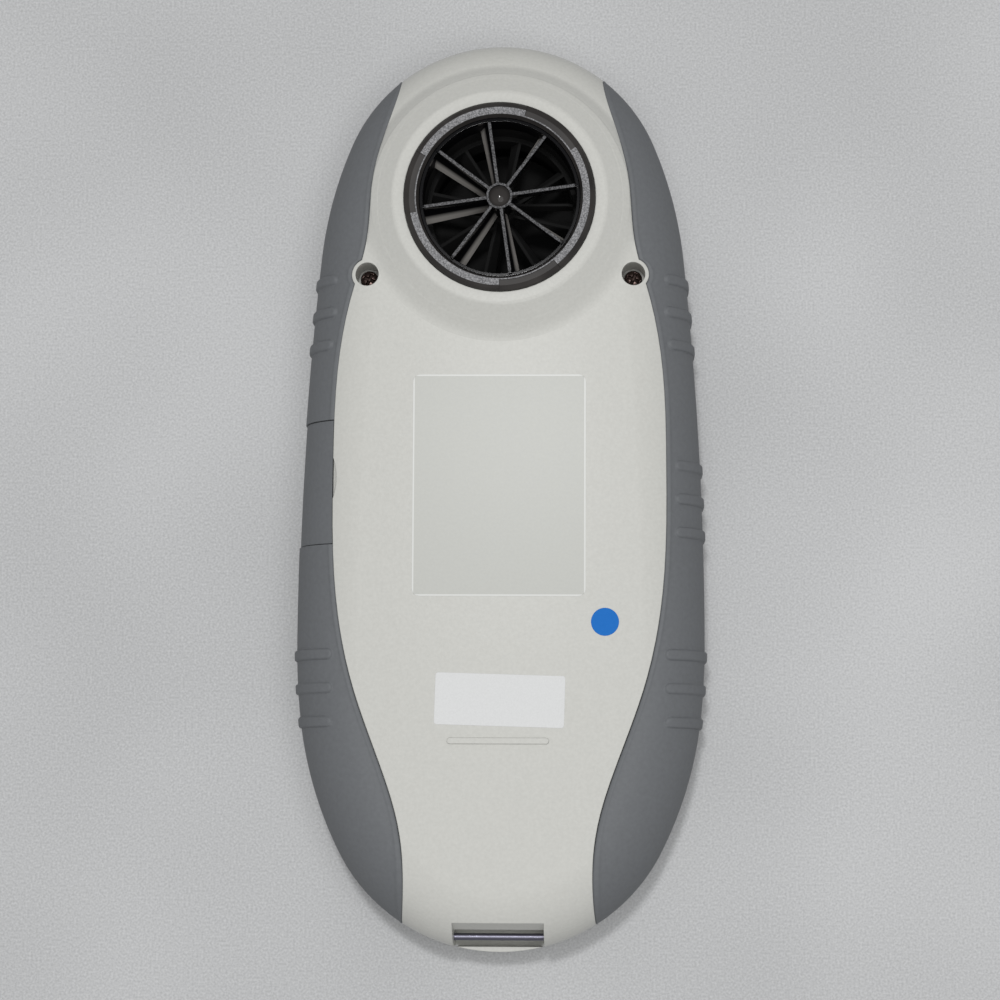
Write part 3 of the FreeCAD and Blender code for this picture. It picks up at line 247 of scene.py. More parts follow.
def addLights(room):
    # Round lamps that face the origin, and an even white world.
    for name in ("key", "fill"):
        lamp = bpy.data.lights.new(name + "_light", "AREA")
        lamp.size = room[name]["size"]
        lamp.energy = room[name]["power"]
        lamp.shape = "DISK"
        holder = bpy.data.objects.new(name + "_light", lamp)
        place = Vector(room[name]["place"])
        holder.rotation_euler = place.to_track_quat("Z", "Y").to_euler()
        holder.location = place
        bpy.context.scene.collection.objects.link(holder)
    world = bpy.data.worlds.new("studio")
    world.use_nodes = True
    bpy.context.scene.world = world
    background = world.node_tree.nodes["Background"]
    background.inputs["Color"].default_value = (1, 1, 1, 1)
    background.inputs["Strength"].default_value = room["world"]


addLights(roomLight)
print("light ready")

floorLook = {                              # millimetres
    "reach": 3000.0, "speckle": 0.45, "blotch": 60.0, "contrast": 2.2, "rough": 0.55,
    "tones": (sRgb(177, 178, 179), sRgb(205, 206, 207)),
}
# Painted shade: a near-black card under the turbine's opening, millimetres
paintedShadeCard = {                              # millimetres
    "radius": 16.2, "low": 0.05, "high": 0.22, "steps": 64, "rough": 0.9, "grain": 1.0,
    "tones": (sRgb(3, 3, 3), sRgb(6, 6, 6)),
}


def addFloor(look):
    finish = Finish("floor_laminate", Roughness=look["rough"])
    speckle = finish.noise(look["speckle"], 3.0)
    blotch = finish.noise(look["blotch"], 1.0)
    share = ((speckle - 0.5) * look["contrast"] + blotch).limit()
    corners = np.array([(-1, -1, 0), (1, -1, 0), (1, 1, 0), (-1, 1, 0)]) * look["reach"]
    floor = buildPiece("floor", [(corners, [np.array([(0, 1, 2, 3)])])], smooth=False)
    floor.data.materials.append(finish.set(Base_Color=finish.mix(share, *look["tones"])))


def addPaintedShadeCard(shape):
    # A dark card lies on the floor below the opening. It is painted shade: a black sheet that stands
    # in for the shade at the opening's far end.
    angle = fullTurn(shape["steps"])
    x, y = np.cos(angle) * shape["radius"], np.sin(angle) * shape["radius"] + turbineY
    loops = np.array([np.stack([x, y, 0 * x + shape[level]], -1) for level in ("low", "high")])
    card = buildPiece("painted_shade_card", [tube(loops)], smooth=False)
    finish = Finish("painted_shade_card_black", Roughness=shape["rough"])
    tone = finish.mix(finish.noise(shape["grain"]), *shape["tones"])
    card.data.materials.append(finish.set(Base_Color=tone))


addFloor(floorLook)
addPaintedShadeCard(paintedShadeCard)
print("room ready")

shellLook = {                              # millimetres
    "crown": 600.0, "grain": 0.3, "grainDepth": 0.012, "mottle": 0.6, "edge": 0.25,
    "tones": (sRgb(198, 198, 193), sRgb(213, 213, 208)), "rough": 0.2, "roughGrain": 0.08,
}


def shellFinish(look):
    # The gloss falls off to both sides as on a back of large crown radius: height -x^2 / (2 radius).
    finish = Finish("shell_plastic", Specular_IOR_Level=0.05)
    grain = finish.noise(look["grain"])
    across = finish.place().part("X") / mm
    height = grain * look["grainDepth"] - across * across / (2 * look["crown"])
    tone = finish.mix(finish.noise(look["mottle"], 3.0), *look["tones"])
    rough = look["rough"] + look["roughGrain"] * grain
    return finish.set(Base_Color=tone, Roughness=rough, Normal=finish.bump(height, 1.0, look["edge"]))


rubberLook = {                             # millimetres
    "grain": 0.2, "grainDepth": 0.01, "mottle": 0.8, "edge": 0.2,
    "tones": (sRgb(102, 104, 107), sRgb(114, 117, 120)), "rough": 0.55, "roughGrain": 0.15,
}


def rubberFinish(look):
    finish = Finish("grip_rubber", Specular_IOR_Level=0.35)
    grain = finish.noise(look["grain"], 3.0)
    tone = finish.mix(finish.noise(look["mottle"], 4.0), *look["tones"])
    rough = look["rough"] + look["roughGrain"] * grain
    relief = finish.bump(grain, look["grainDepth"], look["edge"])
    return finish.set(Base_Color=tone, Roughness=rough, Normal=relief)


turbineLook = {                            # heights and radii in millimetres
    "top": 31.0, "vaneReach": 14.7, "dome": 2.05, "flange": 15.7,
    "band": 33.35, "bandReach": 17.55, "bevel": 0.5,
    # Below the next height, fading in over the run after it, the vanes' leaning faces are painted
    # pale: painted light.
    "paintedLitShare": 28.6, "paintedLitRun": 1.6, "deep": 24.0,
    "facing": 0.85, "leanLow": 0.06, "leanHigh": 0.6,          # upward part of the normal
    "blackTones": (sRgb(7, 7, 9), sRgb(13, 13, 16)),
    # The pale tone of the vanes' leaning lower faces is painted light, not their own colour.
    "paintedLightTone": sRgb(190, 186, 181),
    "charcoalTones": (sRgb(32, 31, 31), sRgb(72, 69, 67)),
    # Vane tops and band: the texture's own grey, put on upward faces only as painted highlight, its
    # lighter specks painted glints.
    "vaneTextureAndHighlightTones": (sRgb(38, 38, 40), sRgb(110, 110, 112)),
    "bandTextureAndHighlightTones": (sRgb(94, 94, 96), sRgb(160, 160, 162)),
    "grain": 0.2, "grainDepth": 0.02, "mottle": 6.0, "edge": 0.12,
    "sparkleStart": 0.4, "sparkleGain": 4,
    "rough": 0.1, "roughTexture": 0.3, "roughDeep": 0.45,
}


def turbineFinish(look):
    # Black gloss, but the band and the vanes' top edges are textured grey, painted paler only where
    # they face up and flecked with painted glints: partly the texture's own tone, partly painted
    # highlight.
    # The vanes' leaning lower faces are painted pale below a height: painted light. Flange and dome
    # are a smooth charcoal beside, the deep parts dull.
    finish = Finish("turbine_black", Specular_IOR_Level=0.13)
    up = finish.node("TexCoord", {}, {}, "Normal").part("Z")
    place = finish.place()
    height = place.part("Z")
    centre = (0, turbineY * mm, 0)
    away = finish.node("VectorMath", {"operation": "SUBTRACT"}, {0: place, 1: centre})
    reach = (away.part("X") ** 2 + away.part("Y") ** 2) ** 0.5

    shallow = height > look["top"] * mm
    dome = reach < look["dome"] * mm
    vaneTop = shallow * (reach < look["vaneReach"] * mm) * (1 - dome)
    rim = reach > look["flange"] * mm
    band = (height > look["band"] * mm) * (reach < look["bandReach"] * mm) * rim
    # Only upward faces get the textured grey: partly the texture's tone, partly painted highlight
    # where the overhead light falls.
    facing = up > look["facing"]
    textured = facing * (vaneTop + band)
    # Painted light: the leaning lower faces are painted pale below a height, as if lit, and left
    # black above it.
    paintedLitShare = ((look["paintedLitShare"] * mm - height) / (look["paintedLitRun"] * mm)).limit()
    paintedLitFaces = (up > look["leanLow"]) * (up < look["leanHigh"]) * (height > look["deep"] * mm) * paintedLitShare

    grain = finish.noise(look["grain"])
    # Bright specks in the textured grey: painted glints.
    sparkle = ((grain - look["sparkleStart"]) * look["sparkleGain"]).limit()
    charcoal = finish.mix(finish.noise(look["mottle"], 1.0), *look["charcoalTones"])
    tone = finish.mix(paintedLitFaces, finish.mix(grain, *look["blackTones"]), look["paintedLightTone"])
    tone = finish.mix(shallow * (rim + dome), tone, charcoal)
    tone = finish.mix(facing * vaneTop, tone, finish.mix(sparkle, *look["vaneTextureAndHighlightTones"]))
    tone = finish.mix(facing * band, tone, finish.mix(sparkle, *look["bandTextureAndHighlightTones"]))

    rough = look["rough"] + look["roughTexture"] * (textured + rim).limit()
    rough = rough + look["roughDeep"] * (height < look["top"] * mm)
    beyond = (reach / mm - look["bandReach"]).atLeast(0.0)
    relief = grain * textured * look["grainDepth"] - beyond * look["bevel"] * shallow
    relief = finish.bump(relief, 1.0, look["edge"])
    return finish.set(Base_Color=tone, Roughness=rough, Normal=relief)


grains = {                                 # sizes, depths and edges in millimetres
    "black": {"size": 0.15, "detail": 2.0, "depth": 0.015, "edge": 0.12, "rough": 0.15},
    "metal": {"size": 0.3, "detail": 3.0, "depth": 0.004, "edge": 0.1, "rough": 0.12},
    "plain": {"size": 0.3, "detail": 3.0, "depth": 0.004, "edge": 0.1, "rough": 0.1},
    "foam": {"size": 0.5, "detail": 3.0, "depth": 0.05, "edge": 0.1, "rough": 0.1},
}


def grainedFinish(name, tones, rough, grain, **constants):
    finish = Finish(name, **constants)
    speck = finish.noise(grain["size"], grain["detail"])
    tone = finish.mix(speck, *tones)
    relief = finish.bump(speck, grain["depth"], grain["edge"])
    return finish.set(Base_Color=tone, Roughness=rough + grain["rough"] * speck, Normal=relief)


def blackFinish(name, shade, rough):
    tones = [sRgb(grey, grey, grey) for grey in (shade, shade * 1.3)]
    return grainedFinish(name, tones, rough, grains["black"])


def metalFinish(name, colour, rough):
    tones = [colour, tuple(v * 0.85 for v in colour)]
    return grainedFinish(name, tones, rough, grains["metal"], Metallic=1.0)


def plainFinish(name, colour, rough, grain="plain", **constants):
    tones = [colour, tuple(v * 0.88 for v in colour)]
    return grainedFinish(name, tones, rough, grains[grain], **constants)


finishes = {
    "shell_plastic": shellFinish(shellLook),
    "grip_rubber": rubberFinish(rubberLook),
    "turbine_black": turbineFinish(turbineLook),
    "steel": metalFinish("steel", sRgb(118, 117, 130), 0.36),
    "screw_steel": metalFinish("screw_steel", sRgb(104, 88, 84), 0.2),
    "socket_metal": metalFinish("socket_metal", sRgb(196, 196, 196), 0.25),
    "sleeve_plastic": blackFinish("sleeve_plastic", 40, 0.4),
    "rotor_plastic": blackFinish("rotor_plastic", 8, 0.35),
    "part_black": plainFinish("part_black", sRgb(34, 34, 36), 0.45),
    "seal_rubber": plainFinish("seal_rubber", sRgb(30, 30, 30), 0.6),
    "bearing_ruby": plainFinish("bearing_ruby", sRgb(160, 20, 50), 0.08),
    "board_green": plainFinish("board_green", sRgb(30, 92, 58), 0.35),
    "sensor_lens": plainFinish("sensor_lens", sRgb(36, 34, 48), 0.1),
    "panel_plastic": plainFinish("panel_plastic", sRgb(196, 202, 210), 0.3),
    "window_clear": plainFinish("window_clear", sRgb(60, 66, 72), 0.06, Coat_Weight=0.6),
    "display_glass": plainFinish("display_glass", sRgb(96, 108, 98), 0.1),
    "frame_plastic": plainFinish("frame_plastic", sRgb(214, 214, 210), 0.4),
    "key_plastic": plainFinish("key_plastic", sRgb(72, 96, 128), 0.35),
    "cell_wrap": plainFinish("cell_wrap", sRgb(176, 180, 184), 0.3),
    "foam": plainFinish("foam", sRgb(50, 50, 52), 0.9, "foam"),
    "wire_red": plainFinish("wire_red", sRgb(170, 34, 30), 0.4),
    "plug_white": plainFinish("plug_white", sRgb(230, 228, 220), 0.4),
}
# Painted shade: the parts deep in the tube get a near-black finish, darker than their own plastic,
# for the shade inside it.
paintedShadeBlack = blackFinish("painted_shade_black", 3, 0.8)
# Nodes with a finish of their own; every other node has the one of its slot.
nodeFinishes = {"front_swirler": paintedShadeBlack, "rotor_vane": paintedShadeBlack, "window_ring": paintedShadeBlack}


def dressNodes():
    for part in frame["record"]["subparts"]:
        materials = frame["nodes"][part["node"]].data.materials
        materials.clear()
        materials.append(nodeFinishes.get(part["node"], finishes[part["material_slot"]]))


dressNodes()
print("finishes ready")

casing = {                                 # millimetres, as the solids have them
    "length": 179.4, "width": 80.0, "back": 28.0, "widest": -30.0,
    "backRound": 12.5, "frontRound": 10.0,
    "shoulder": 80.0, "hip": 76.0,         # arc radii
    "turns": (67.0, 84.0, 96.0, 117.0),    # headings where the arcs meet, degrees
    "overlap": 0.02,                       # how far an arc reaches past its ends, radians
    "arcSteps": 120,
}


def endAndSide(reachX, reachY, joint, endTurn, jointTurn):
    # Radii of an end arc and a side arc that meet an arc of radius joint between them.
    endTurn, jointTurn = np.radians(endTurn), np.radians(jointTurn)
    table = np.array([[np.sin(endTurn), 1 - np.sin(jointTurn)],
                      [1 - np.cos(endTurn), np.cos(jointTurn)]])
    left = [reachX - joint * (np.sin(jointTurn) - np.sin(endTurn)),
            reachY - joint * (np.cos(endTurn) - np.cos(jointTurn))]
    return np.linalg.solve(table, left)


def outlineArcs(shape):
    # Centre, radius, first and last heading of each arc down the +X half.
    half, end, widest = shape["width"] / 2, shape["length"] / 2, shape["widest"]
    first, second, third, fourth = shape["turns"]
    top, side = endAndSide(half, end - widest, shape["shoulder"], first, second)
    bottom, lowSide = endAndSide(half, end + widest, shape["hip"], 180 - fourth, 180 - third)
    radii = [top, shape["shoulder"], side, lowSide, shape["hip"], bottom]
    headings = np.radians([0, first, second, 90, third, fourth, 180])
    point, arcs = np.array([0.0, end]), []
    for radius, begin, finish in zip(radii, headings, headings[1:]):
        centre = point - radius * np.array([np.sin(begin), np.cos(begin)])
        point = centre + radius * np.array([np.sin(finish), np.cos(finish)])
        arcs.append((centre, radius, begin, finish))
    return arcs


casingArcs = outlineArcs(casing)


def insetDepth(x, y):
    # Distance in from the outline: radius less the distance to the centre of the arc that faces
    # the point.
    x, depth, spare = np.abs(x), np.full(np.shape(x), np.inf), casing["overlap"]
    for centre, radius, begin, finish in casingArcs:
        dx, dy = x - centre[0], y - centre[1]
        heading = np.arctan2(dx, dy)
        faces = (heading >= begin - spare) & (heading <= finish + spare)
        depth = np.where(faces, np.minimum(depth, radius - np.hypot(dx, dy)), depth)
    return depth


def backHeight(x, y):
    # Height of the outer back: flat, then a quarter round of backRound down to the side wall.
    rolled = casing["backRound"]
    depth = np.clip(insetDepth(x, y), 0, rolled)
    return casing["back"] - rolled + np.sqrt(rolled ** 2 - (rolled - depth) ** 2)


def insetHalfWidths(depths, levels):
    # Half width of the outline, moved in by each of depths, at each y of levels.
    widths = np.zeros((len(levels), len(depths)))
    for column, depth in enumerate(depths):
        xs, ys = [], []
        for centre, radius, begin, finish in casingArcs:
            heading = np.linspace(begin, finish, casing["arcSteps"])
            xs.append(centre[0] + (radius - depth) * np.sin(heading))
            ys.append(centre[1] + (radius - depth) * np.cos(heading))
        xs, ys = np.concatenate(xs), np.concatenate(ys)
        widths[:, column] = np.interp(-levels, -ys, xs)
    return widths


def sectionPoint(path):
    # Inset and height at a path length up the casing's section: 0 where the back's round starts,
    # the front's round below the side wall, flat beyond the back's round.
    rolled, front = casing["backRound"], casing["frontRound"]
    wall = casing["back"] - rolled - front
    back = np.clip(path / rolled, 0, np.pi / 2)
    below = np.clip((-path - wall) / front, 0, np.pi / 2)
    flat = np.maximum(path - rolled * np.pi / 2, 0)
    inset = rolled * (1 - np.cos(back)) + flat + front * (1 - np.cos(below))
    height = casing["back"] - rolled + rolled * np.sin(back)
    height = np.where(path < 0, np.maximum(path + casing["back"] - rolled, front), height)
    return inset, height - front * np.sin(below)


def innerEdge(nodeName, levels):
    # Least |x| of a node at each y: where its mesh edges cross that level.
    mesh = frame["nodes"][nodeName].data
    points = np.empty(len(mesh.vertices) * 3)
    mesh.vertices.foreach_get("co", points)
    points = points.reshape(-1, 3) / mm
    ends = np.empty(len(mesh.edges) * 2, dtype=int)
    mesh.edges.foreach_get("vertices", ends)
    first, second = points[ends[0::2]], points[ends[1::2]]
    reach = np.empty(len(levels))
    for row, level in enumerate(levels):
        crosses = (first[:, 1] - level) * (second[:, 1] - level) < 0
        a, b = first[crosses], second[crosses]
        share = (level - a[:, 1]) / (b[:, 1] - a[:, 1])
        reach[row] = np.abs(a[:, 0] + share * (b[:, 0] - a[:, 0])).min() if len(a) else np.nan
    return reach


gripShape = {                              # millimetres
    "frontHeight": 4.0,                    # where the skin ends on the front's round
    "ribHeight": 0.5, "ribHalf": 1.05, "ribRound": 0.5,
    "ribEnd": 32.0, "ribClear": 1.6, "ribFront": 7.0, "ribPitch": 6.5, "ribCount": 3,
    "ribRows": {"right": (41.2, 4.4, -32.4), "left": (41.2, -32.4)},
    "edgeRound": 0.4, "beadHeight": 0.1, "beadPlace": 0.75, "beadWidth": 0.28,
    "skin": 1.9, "skinAtSeam": 0.5, "endClear": 0.03,
    "doorLow": -11.15, "doorHigh": 13.25,
    "stripTop": 6.6, "stripLeast": 0.05, "hinge": (37.0, 8.8), "hingeRoom": 3.3,
    # How finely the skins are drawn:
    "fineStep": 0.16, "coarseStep": 0.9, "fineReach": 4.5, "endReach": 2.0,
    "insetStep": 0.2, "insetReach": 26.0,
    "seamRuns": ((0, 0.4, 7), (0.5, 1.3, 9), (1.5, 6.5, 32)),  # from, to, count
    "wallCount": 46, "innerEvery": 6, "stripCounts": (30, 14),
    "leastStep": 1e-6, "leastNormal": 1e-9,                    # keep a division from meeting zero
}


def ribCentres(side):
    shape = gripShape
    return np.array([first - n * shape["ribPitch"] for first in shape["ribRows"][side]
                     for n in range(shape["ribCount"])])


def gripLevels(low, high, centres):
    # y levels, close together near the ribs and at both ends.
    shape = gripShape
    steps, level = [low], low
    while level < high:
        nearRib = np.abs(centres - level).min() < shape["fineReach"]
        nearEnd = min(level - low, high - level) < shape["endReach"]
        level += shape["fineStep"] if nearRib or nearEnd else shape["coarseStep"]
        steps.append(min(level, high))
    return np.array(steps)


def ribRise(x, y, z, edge, centres):
    # Height of the ribs: a quarter round from each bar's outline up to its flat top.
    shape = gripShape
    rise = np.zeros(x.shape)
    for centre in centres:
        end = np.maximum(shape["ribEnd"], edge + shape["ribClear"]) + shape["ribHalf"]
        along = np.minimum(x - end, 0)
        inside = shape["ribHalf"] - np.hypot(along, y - centre)
        inside = np.minimum(inside, z - shape["ribFront"])
        share = np.clip(inside / shape["ribRound"], 0, 1)
        rise = np.maximum(rise, shape["ribHeight"] * np.sqrt(1 - (1 - share) ** 2))
    return rise


def seamPath(widths, depths, edge):
    # Path length up the casing's section to the seam: the inset at which the outline's half width
    # is edge, read between two columns of the table, then laid along the back's round.
    row = np.arange(len(widths))
    last = np.maximum((widths > edge[:, None]).sum(1) - 1, 0)
    nextWidth = widths[row, np.minimum(last + 1, len(depths) - 1)]
    step = np.maximum(widths[row, last] - nextWidth, gripShape["leastStep"])
    share = np.clip((widths[row, last] - edge) / step, 0, 1)
    depth = depths[last] + share * gripShape["insetStep"]
    rolled = casing["backRound"]
    around = rolled * np.arccos(np.clip(1 - depth / rolled, 0, 1))
    return around + np.maximum(depth - rolled, 0)


def gripLoops(side, low, high):
    # Sections of a grip: the casing's own section from the front edge up to the seam, raised along
    # its normal by the ribs and the bead, rounded over at the seam, and closed by an inner face.
    shape, centres = gripShape, ribCentres(side)
    levels = gripLevels(low, high, centres)
    depths = np.arange(0, shape["insetReach"], shape["insetStep"])
    widths = insetHalfWidths(depths, levels)
    edge = innerEdge(side + "_grip", levels)
    known = ~np.isnan(edge)
    edge = np.interp(levels, levels[known], edge[known])

    # away: path length down from the seam, fine at first, then in equal steps to the front edge.
    front = casing["frontRound"]
    wall = casing["back"] - casing["backRound"] - front
    frontPath = -wall - front * np.arcsin(1 - shape["frontHeight"] / front)
    seam = seamPath(widths, depths, edge)[:, None]
    near = np.concatenate([np.linspace(*run) for run in shape["seamRuns"]])
    near = np.tile(near, (len(levels), 1))
    rest = np.linspace(0, 1, shape["wallCount"])[1:]
    away = np.concatenate([near, near[:, -1:] + (seam - frontPath - near[:, -1:]) * rest], 1)

    inset, z = sectionPoint(seam - away)
    column = np.clip(inset / shape["insetStep"], 0, len(depths) - 1.001)  # short of the last column
    lower = column.astype(int)
    share = column - lower
    row = np.arange(len(levels))[:, None]
    x = widths[row, lower] * (1 - share) + widths[row, lower + 1] * share
    y = np.tile(levels[:, None], (1, x.shape[1]))
    base = np.stack([x, y, z], -1)
    normal = np.cross(np.gradient(base, axis=1), np.gradient(base, axis=0))
    normal /= np.maximum(np.linalg.norm(normal, axis=-1, keepdims=True), shape["leastNormal"])

    rounded = shape["edgeRound"]
    dip = rounded - np.sqrt(rounded ** 2 - (rounded - np.minimum(away, rounded)) ** 2)
    bead = shape["beadHeight"] * np.exp(-((away - shape["beadPlace"]) / shape["beadWidth"]) ** 2)
    rise = ribRise(x, y, z, edge[:, None], centres) + bead - dip
    outer = base + normal * rise[..., None]
    every = shape["innerEvery"]
    depth = np.minimum(shape["skin"], shape["skinAtSeam"] + away[:, ::every])
    inner = base[:, ::every] - normal[:, ::every] * depth[..., None]
    return np.concatenate([outer, inner[:, ::-1]], 1)


def stripLoops(low, high):
    # The left grip's low strip in front of the port cover: thinned where the cover's foot turns.
    shape, front = gripShape, casing["frontRound"]
    rows, columns = gripShape["stripCounts"]
    levels = np.linspace(low, high, rows)
    top, foot = [np.arcsin(1 - shape[height] / front) for height in ("stripTop", "frontHeight")]
    turns = np.linspace(top, foot, columns)
    widths = insetHalfWidths(front * (1 - np.cos(turns)), levels)
    z = np.tile(front - front * np.sin(turns), (len(levels), 1))
    outer = np.stack([widths, np.tile(levels[:, None], (1, len(turns))), z], -1)
    centreX = insetHalfWidths([front], levels)
    inward = np.stack([centreX - widths, np.zeros_like(widths), front - z], -1) / front
    hingeX, hingeZ = shape["hinge"]
    free = np.hypot(widths - hingeX, z - hingeZ) - shape["hingeRoom"]
    inner = outer + inward * np.clip(free, shape["stripLeast"], shape["skin"])[..., None]
    return np.concatenate([outer, inner[:, ::-1]], 1)


def addSkins():
    # The grips' rubber, drawn finer than the solids: soft ribs, a bead along the seam and a
    # rounded edge. The left one is drawn on the right and mirrored.
    shape = gripShape
    bottom, top = [corner[1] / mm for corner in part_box("right_grip")]
    low, high = bottom + shape["endClear"], top - shape["endClear"]
    right = buildPiece("right_grip_skin", [tube(gripLoops("right", low, high))])
    pieces = [gripLoops("left", low, shape["doorLow"]), gripLoops("left", shape["doorHigh"], high),
              stripLoops(shape["doorLow"], shape["doorHigh"])]
    mirrored = [tube(loops[:, ::-1] * (-1, 1, 1)) for loops in pieces]
    left = buildPiece("left_grip_skin", mirrored)
    for skin, name in ((right, "right_grip"), (left, "left_grip")):
        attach(skin, "casing")
        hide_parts(name)
        skin.data.materials.append(finishes["grip_rubber"])


addSkins()
print("grips ready")

bossShape = {                              # millimetres
    "rimRadius": 20.9, "rimHeight": 32.5, "footRadius": 25.3, "footHeight": 29.0,
    "hollow": (24.3, 27.6),                # radii between which the slope runs out into the back
    "first": 23.8, "last": 28.0, "footClear": 0.03, "lift": 0.02, "sink": 0.05,
    "edgeClear": 0.2, "screwClear": 2.5, "thickness": 1.2,
    "rings": 34, "turns": 360, "seamReach": 32, "seamSteps": 300, "reachSteps": 80,
    "borderShare": 8,                      # a border is an eighth of the ring's width
}


def bossLoops(shape):
    # Polar grid round the turbine. Height: the boss's slope, and over the hollow a cubic that leaves
    # the slope and meets the back without a bend: h(2t^3 - 3t^2 + 1) + m(t^3 - 2t^2 + t).
    angle = fullTurn(shape["turns"])[:, None]
    ys = turbineY + np.linspace(-shape["seamReach"], shape["seamReach"], shape["seamSteps"])
    edges = np.minimum(innerEdge("left_grip", ys), innerEdge("right_grip", ys))
    ys, edges = ys[~np.isnan(edges)], edges[~np.isnan(edges)]

    # last: how far out each ray runs before it meets a grip or a screw's recess.
    reach = np.linspace(shape["first"], shape["last"], shape["reachSteps"])
    x, y = np.cos(angle) * reach, turbineY + np.sin(angle) * reach
    free = np.abs(x) < np.interp(y, ys, edges, left=np.inf, right=np.inf) - shape["edgeClear"]
    free &= np.hypot(np.abs(x) - screwPlace[0], y - screwPlace[1]) > shape["screwClear"]
    blocked = np.column_stack([~free, np.ones(len(angle), bool)]).argmax(1)
    last = np.maximum(reach[np.maximum(blocked - 1, 0)], shape["footRadius"] + shape["footClear"])

    share = np.linspace(0, 1, shape["rings"])
    radius = shape["first"] + (last[:, None] - shape["first"]) * share
    x, y = np.cos(angle) * radius, turbineY + np.sin(angle) * radius
    fall = (shape["rimHeight"] - shape["footHeight"]) / (shape["footRadius"] - shape["rimRadius"])
    slope = shape["rimHeight"] - (radius - shape["rimRadius"]) * fall
    back = backHeight(x, y)
    start, stop = shape["hollow"]
    t = np.clip((radius - start) / (stop - start), 0, 1)
    rise = shape["rimHeight"] - (start - shape["rimRadius"]) * fall - back
    run = fall * (stop - start)
    hollow = back + rise * (2 * t ** 3 - 3 * t ** 2 + 1) - run * (t ** 3 - 2 * t ** 2 + t)
    height = np.where(radius < start, slope, hollow)
    height = np.where(radius < shape["footRadius"], np.maximum(height, slope), height)

    # The ring stands a hair proud, and both its borders dip below the shell.
    border = np.minimum(np.minimum(share, 1 - share) * shape["borderShare"], 1)
    height = height + shape["lift"] - (shape["lift"] + shape["sink"]) * (1 - border)
    over = np.stack([x, y, height], -1)
    under = over - np.array([0, 0, shape["thickness"]])
    return np.concatenate([over, under[:, ::-1]], 1)


def addBoss():
    blend = buildPiece("boss_blend", [hoop(bossLoops(bossShape))])
    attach(blend, "casing")
    blend.data.materials.append(finishes["shell_plastic"])


addBoss()
print("boss ready")

screwShape = {                             # millimetres
    "tip": 7.7, "tipShare": 1 / 3, "point": 1.2, "shank": 1.25,
    "floor": 18.65, "seat": 20.0, "edge": 21.35, "top": 21.8, "head": 1.74, "edgeRound": 0.12,
    "armHalf": 0.3, "armReach": 1.3, "armDepth": 0.9, "armWall": 0.12, "armTurn": 24.0,
    "collar": 2.31, "collarRound": 0.12, "collarPlay": 0.1,
    "rings": 30, "turns": 120, "innermost": 0.02,
}


def screwLoops(shape, centreX):
    # Pan-head screw in rings from its tip up. The cross recess: four arms that fall to the middle.
    rounded = shape["edgeRound"]
    profile = [(shape["shank"] * shape["tipShare"], shape["tip"]),
               (shape["shank"], shape["tip"] + shape["point"]),
               (shape["shank"], shape["seat"]), (shape["head"] - rounded, shape["seat"]),
               (shape["head"], shape["seat"] + rounded), (shape["head"], shape["edge"] - rounded)]
    share = np.linspace(1, 0, shape["rings"])
    across = shape["innermost"] + (shape["head"] - shape["innermost"]) * share
    profile += list(zip(across, shape["edge"] + (shape["top"] - shape["edge"]) * (1 - share ** 3)))
    radius, height = np.array(profile).T[:, :, None]
    angle = fullTurn(shape["turns"])
    turned = angle + np.radians(shape["armTurn"])
    u, v = np.abs(radius * np.cos(turned)), np.abs(radius * np.sin(turned))
    along, aside = np.maximum(u, v), np.minimum(u, v)
    depth = shape["armDepth"] * np.sqrt(np.clip(1 - along / shape["armReach"], 0, 1))
    inside = np.clip((shape["armHalf"] - aside) / shape["armWall"] + 0.5, 0, 1)
    height = height - depth * inside * (height > shape["seat"] + rounded)
    x = centreX + radius * np.cos(angle)
    y = screwPlace[1] + radius * np.sin(angle)
    return np.stack([x, y, height + 0 * x], -1)


def collarLoops(shape, centreX):
    # The recess's floor round the screw's head.
    rounded, inner = shape["collarRound"], shape["shank"] + shape["collarPlay"]
    section = np.array([(inner, shape["seat"] - rounded), (inner + rounded, shape["seat"]),
                        (shape["collar"], shape["seat"]), (shape["collar"], shape["floor"]),
                        (inner, shape["floor"])])
    angle = fullTurn(shape["turns"])[:, None]
    x = centreX + section[:, 0] * np.cos(angle)
    y = screwPlace[1] + section[:, 0] * np.sin(angle)
    return np.stack([x, y, section[:, 1] + 0 * x], -1)


def addScrews():
    sides = (-screwPlace[0], screwPlace[0])
    heads = buildPiece("screw_heads", [tube(screwLoops(screwShape, x)) for x in sides])
    floors = buildPiece("recess_floors", [hoop(collarLoops(screwShape, x)) for x in sides])
    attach(heads, "casing")
    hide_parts("case_screws")
    heads.data.materials.append(finishes["screw_steel"])
    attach(floors, "casing")
    floors.data.materials.append(finishes["shell_plastic"])


addScrews()
print("screws ready")

labelShape = {                             # millimetres and degrees
    "film": {"centre": (0.0, 0.3), "size": (33.6, 43.2), "corner": 1.5, "turn": 0.0, "thick": 0.12},
    "sticker": {"centre": (0.3, -41.3), "size": (25.0, 10.0), "corner": 0.6, "turn": -1.6,
                "thick": 0.1},
    "dot": {"centre": (20.5, -26.2), "size": (5.4, 5.4), "corner": 2.7, "turn": 0.0, "thick": 0.08},
    "cornerSteps": 10, "edgeRound": 0.04, "sunk": 0.01,
}
filmLook = {                               # millimetres
    # The pale line along the film's border, its width and tone, is a painted highlight.
    "border": 0.35, "paintedEdgeHighlightTone": sRgb(222, 223, 220), "mottle": 0.5,
    "tones": (sRgb(193, 194, 189), sRgb(201, 202, 197)),
    "grain": 0.4, "rough": 0.2, "roughGrain": 0.04,
}


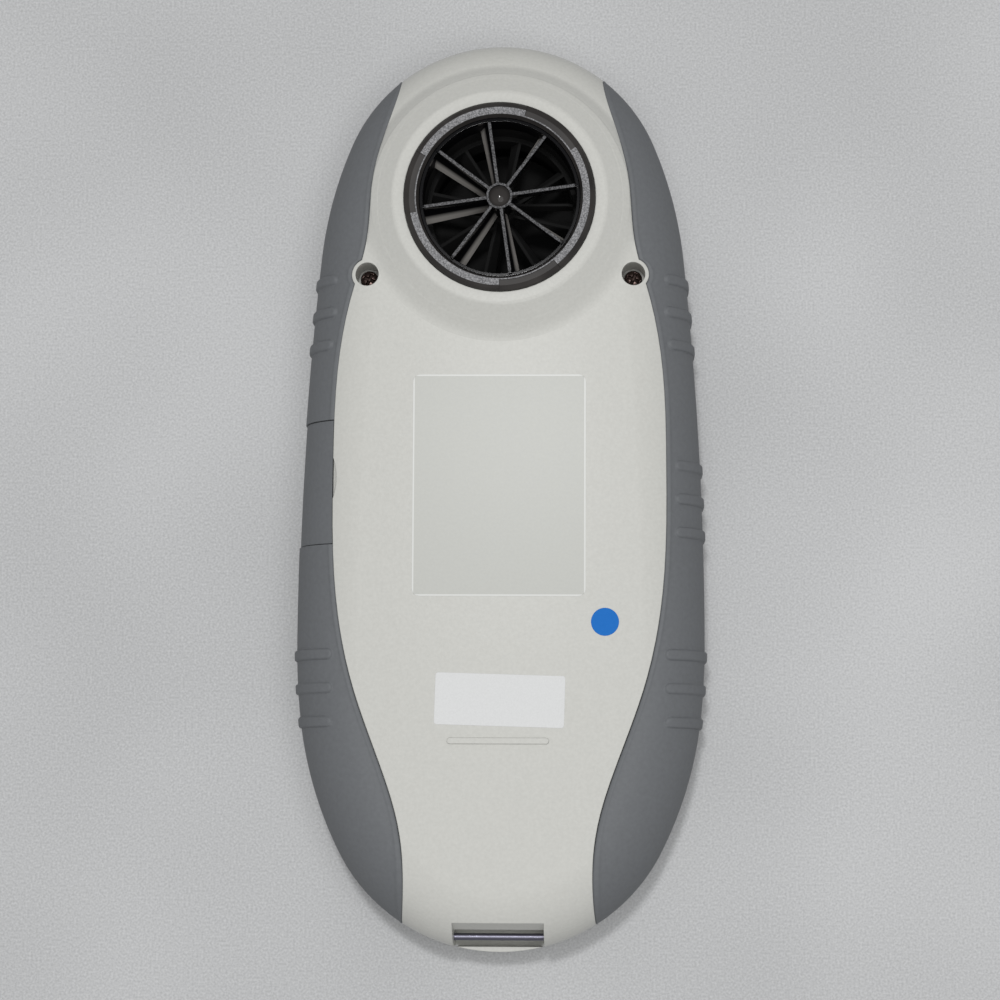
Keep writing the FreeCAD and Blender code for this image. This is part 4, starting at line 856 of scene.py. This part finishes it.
def filmFinish(shape, look):
    # Nearly clear film: the shell's tone, a pale line painted along its border as a painted highlight
    # on its edge, and a soft gloss.
    finish = Finish("film", Specular_IOR_Level=0.04)
    place = finish.place()
    width, length = shape["size"]
    side = abs(place.part("X") / mm - shape["centre"][0])
    end = abs(place.part("Y") / mm - shape["centre"][1])
    border = (side > width / 2 - look["border"]) + (end > length / 2 - look["border"])
    tone = finish.mix(finish.noise(look["mottle"], 3.0), *look["tones"])
    # Painted highlight: a pale line along the film's border, for the light its edge catches.
    tone = finish.mix(border.limit(), tone, look["paintedEdgeHighlightTone"])
    rough = look["rough"] + look["roughGrain"] * finish.noise(look["grain"])
    return finish.set(Base_Color=tone, Roughness=rough)


labelFinishes = {
    "film": filmFinish(labelShape["film"], filmLook),
    "sticker": plainFinish("sticker", sRgb(230, 231, 231), 0.6, Specular_IOR_Level=0.1),
    "dot": plainFinish("dot", sRgb(30, 116, 204), 0.5, Specular_IOR_Level=0.1),
}


def labelLoops(shape):
    # Rounded rectangle laid on the back face, with a tiny round along its upper edge: the outline
    # moved in by inset at each height.
    steps = np.linspace(0, np.pi / 2, labelShape["cornerSteps"])
    width, length = shape["size"]
    corner, turn = shape["corner"], np.radians(shape["turn"])
    corners = []
    for quarter, (sx, sy) in enumerate([(1, 1), (-1, 1), (-1, -1), (1, -1)]):
        angle = steps + quarter * np.pi / 2
        centre = np.array([sx * (width / 2 - corner), sy * (length / 2 - corner)])
        corners.append((centre, np.stack([np.cos(angle), np.sin(angle)], -1)))
    rounded, top = labelShape["edgeRound"], shape["thick"]
    edge = [(0, 0), (0, top - rounded), (rounded * 0.3, top - rounded * 0.3), (rounded, top),
            (rounded * 3, top)]
    loops = []
    for inset, height in edge:
        flat = np.concatenate([centre + way * (corner - inset) for centre, way in corners])
        x = flat[:, 0] * np.cos(turn) - flat[:, 1] * np.sin(turn) + shape["centre"][0]
        y = flat[:, 0] * np.sin(turn) + flat[:, 1] * np.cos(turn) + shape["centre"][1]
        z = casing["back"] - labelShape["sunk"] + height
        loops.append(np.stack([x, y, np.full(len(x), z)], -1))
    return np.array(loops)


def addLabels():
    for name, slot in (("film", "panel_plastic"), ("sticker", "plug_white"), ("dot", "key_plastic")):
        piece = buildPiece("label_" + name, [tube(labelLoops(labelShape[name]))], smooth=False)
        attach(piece, "casing")
        piece.data.materials.append(labelFinishes[name])


addLabels()
print("labels ready")
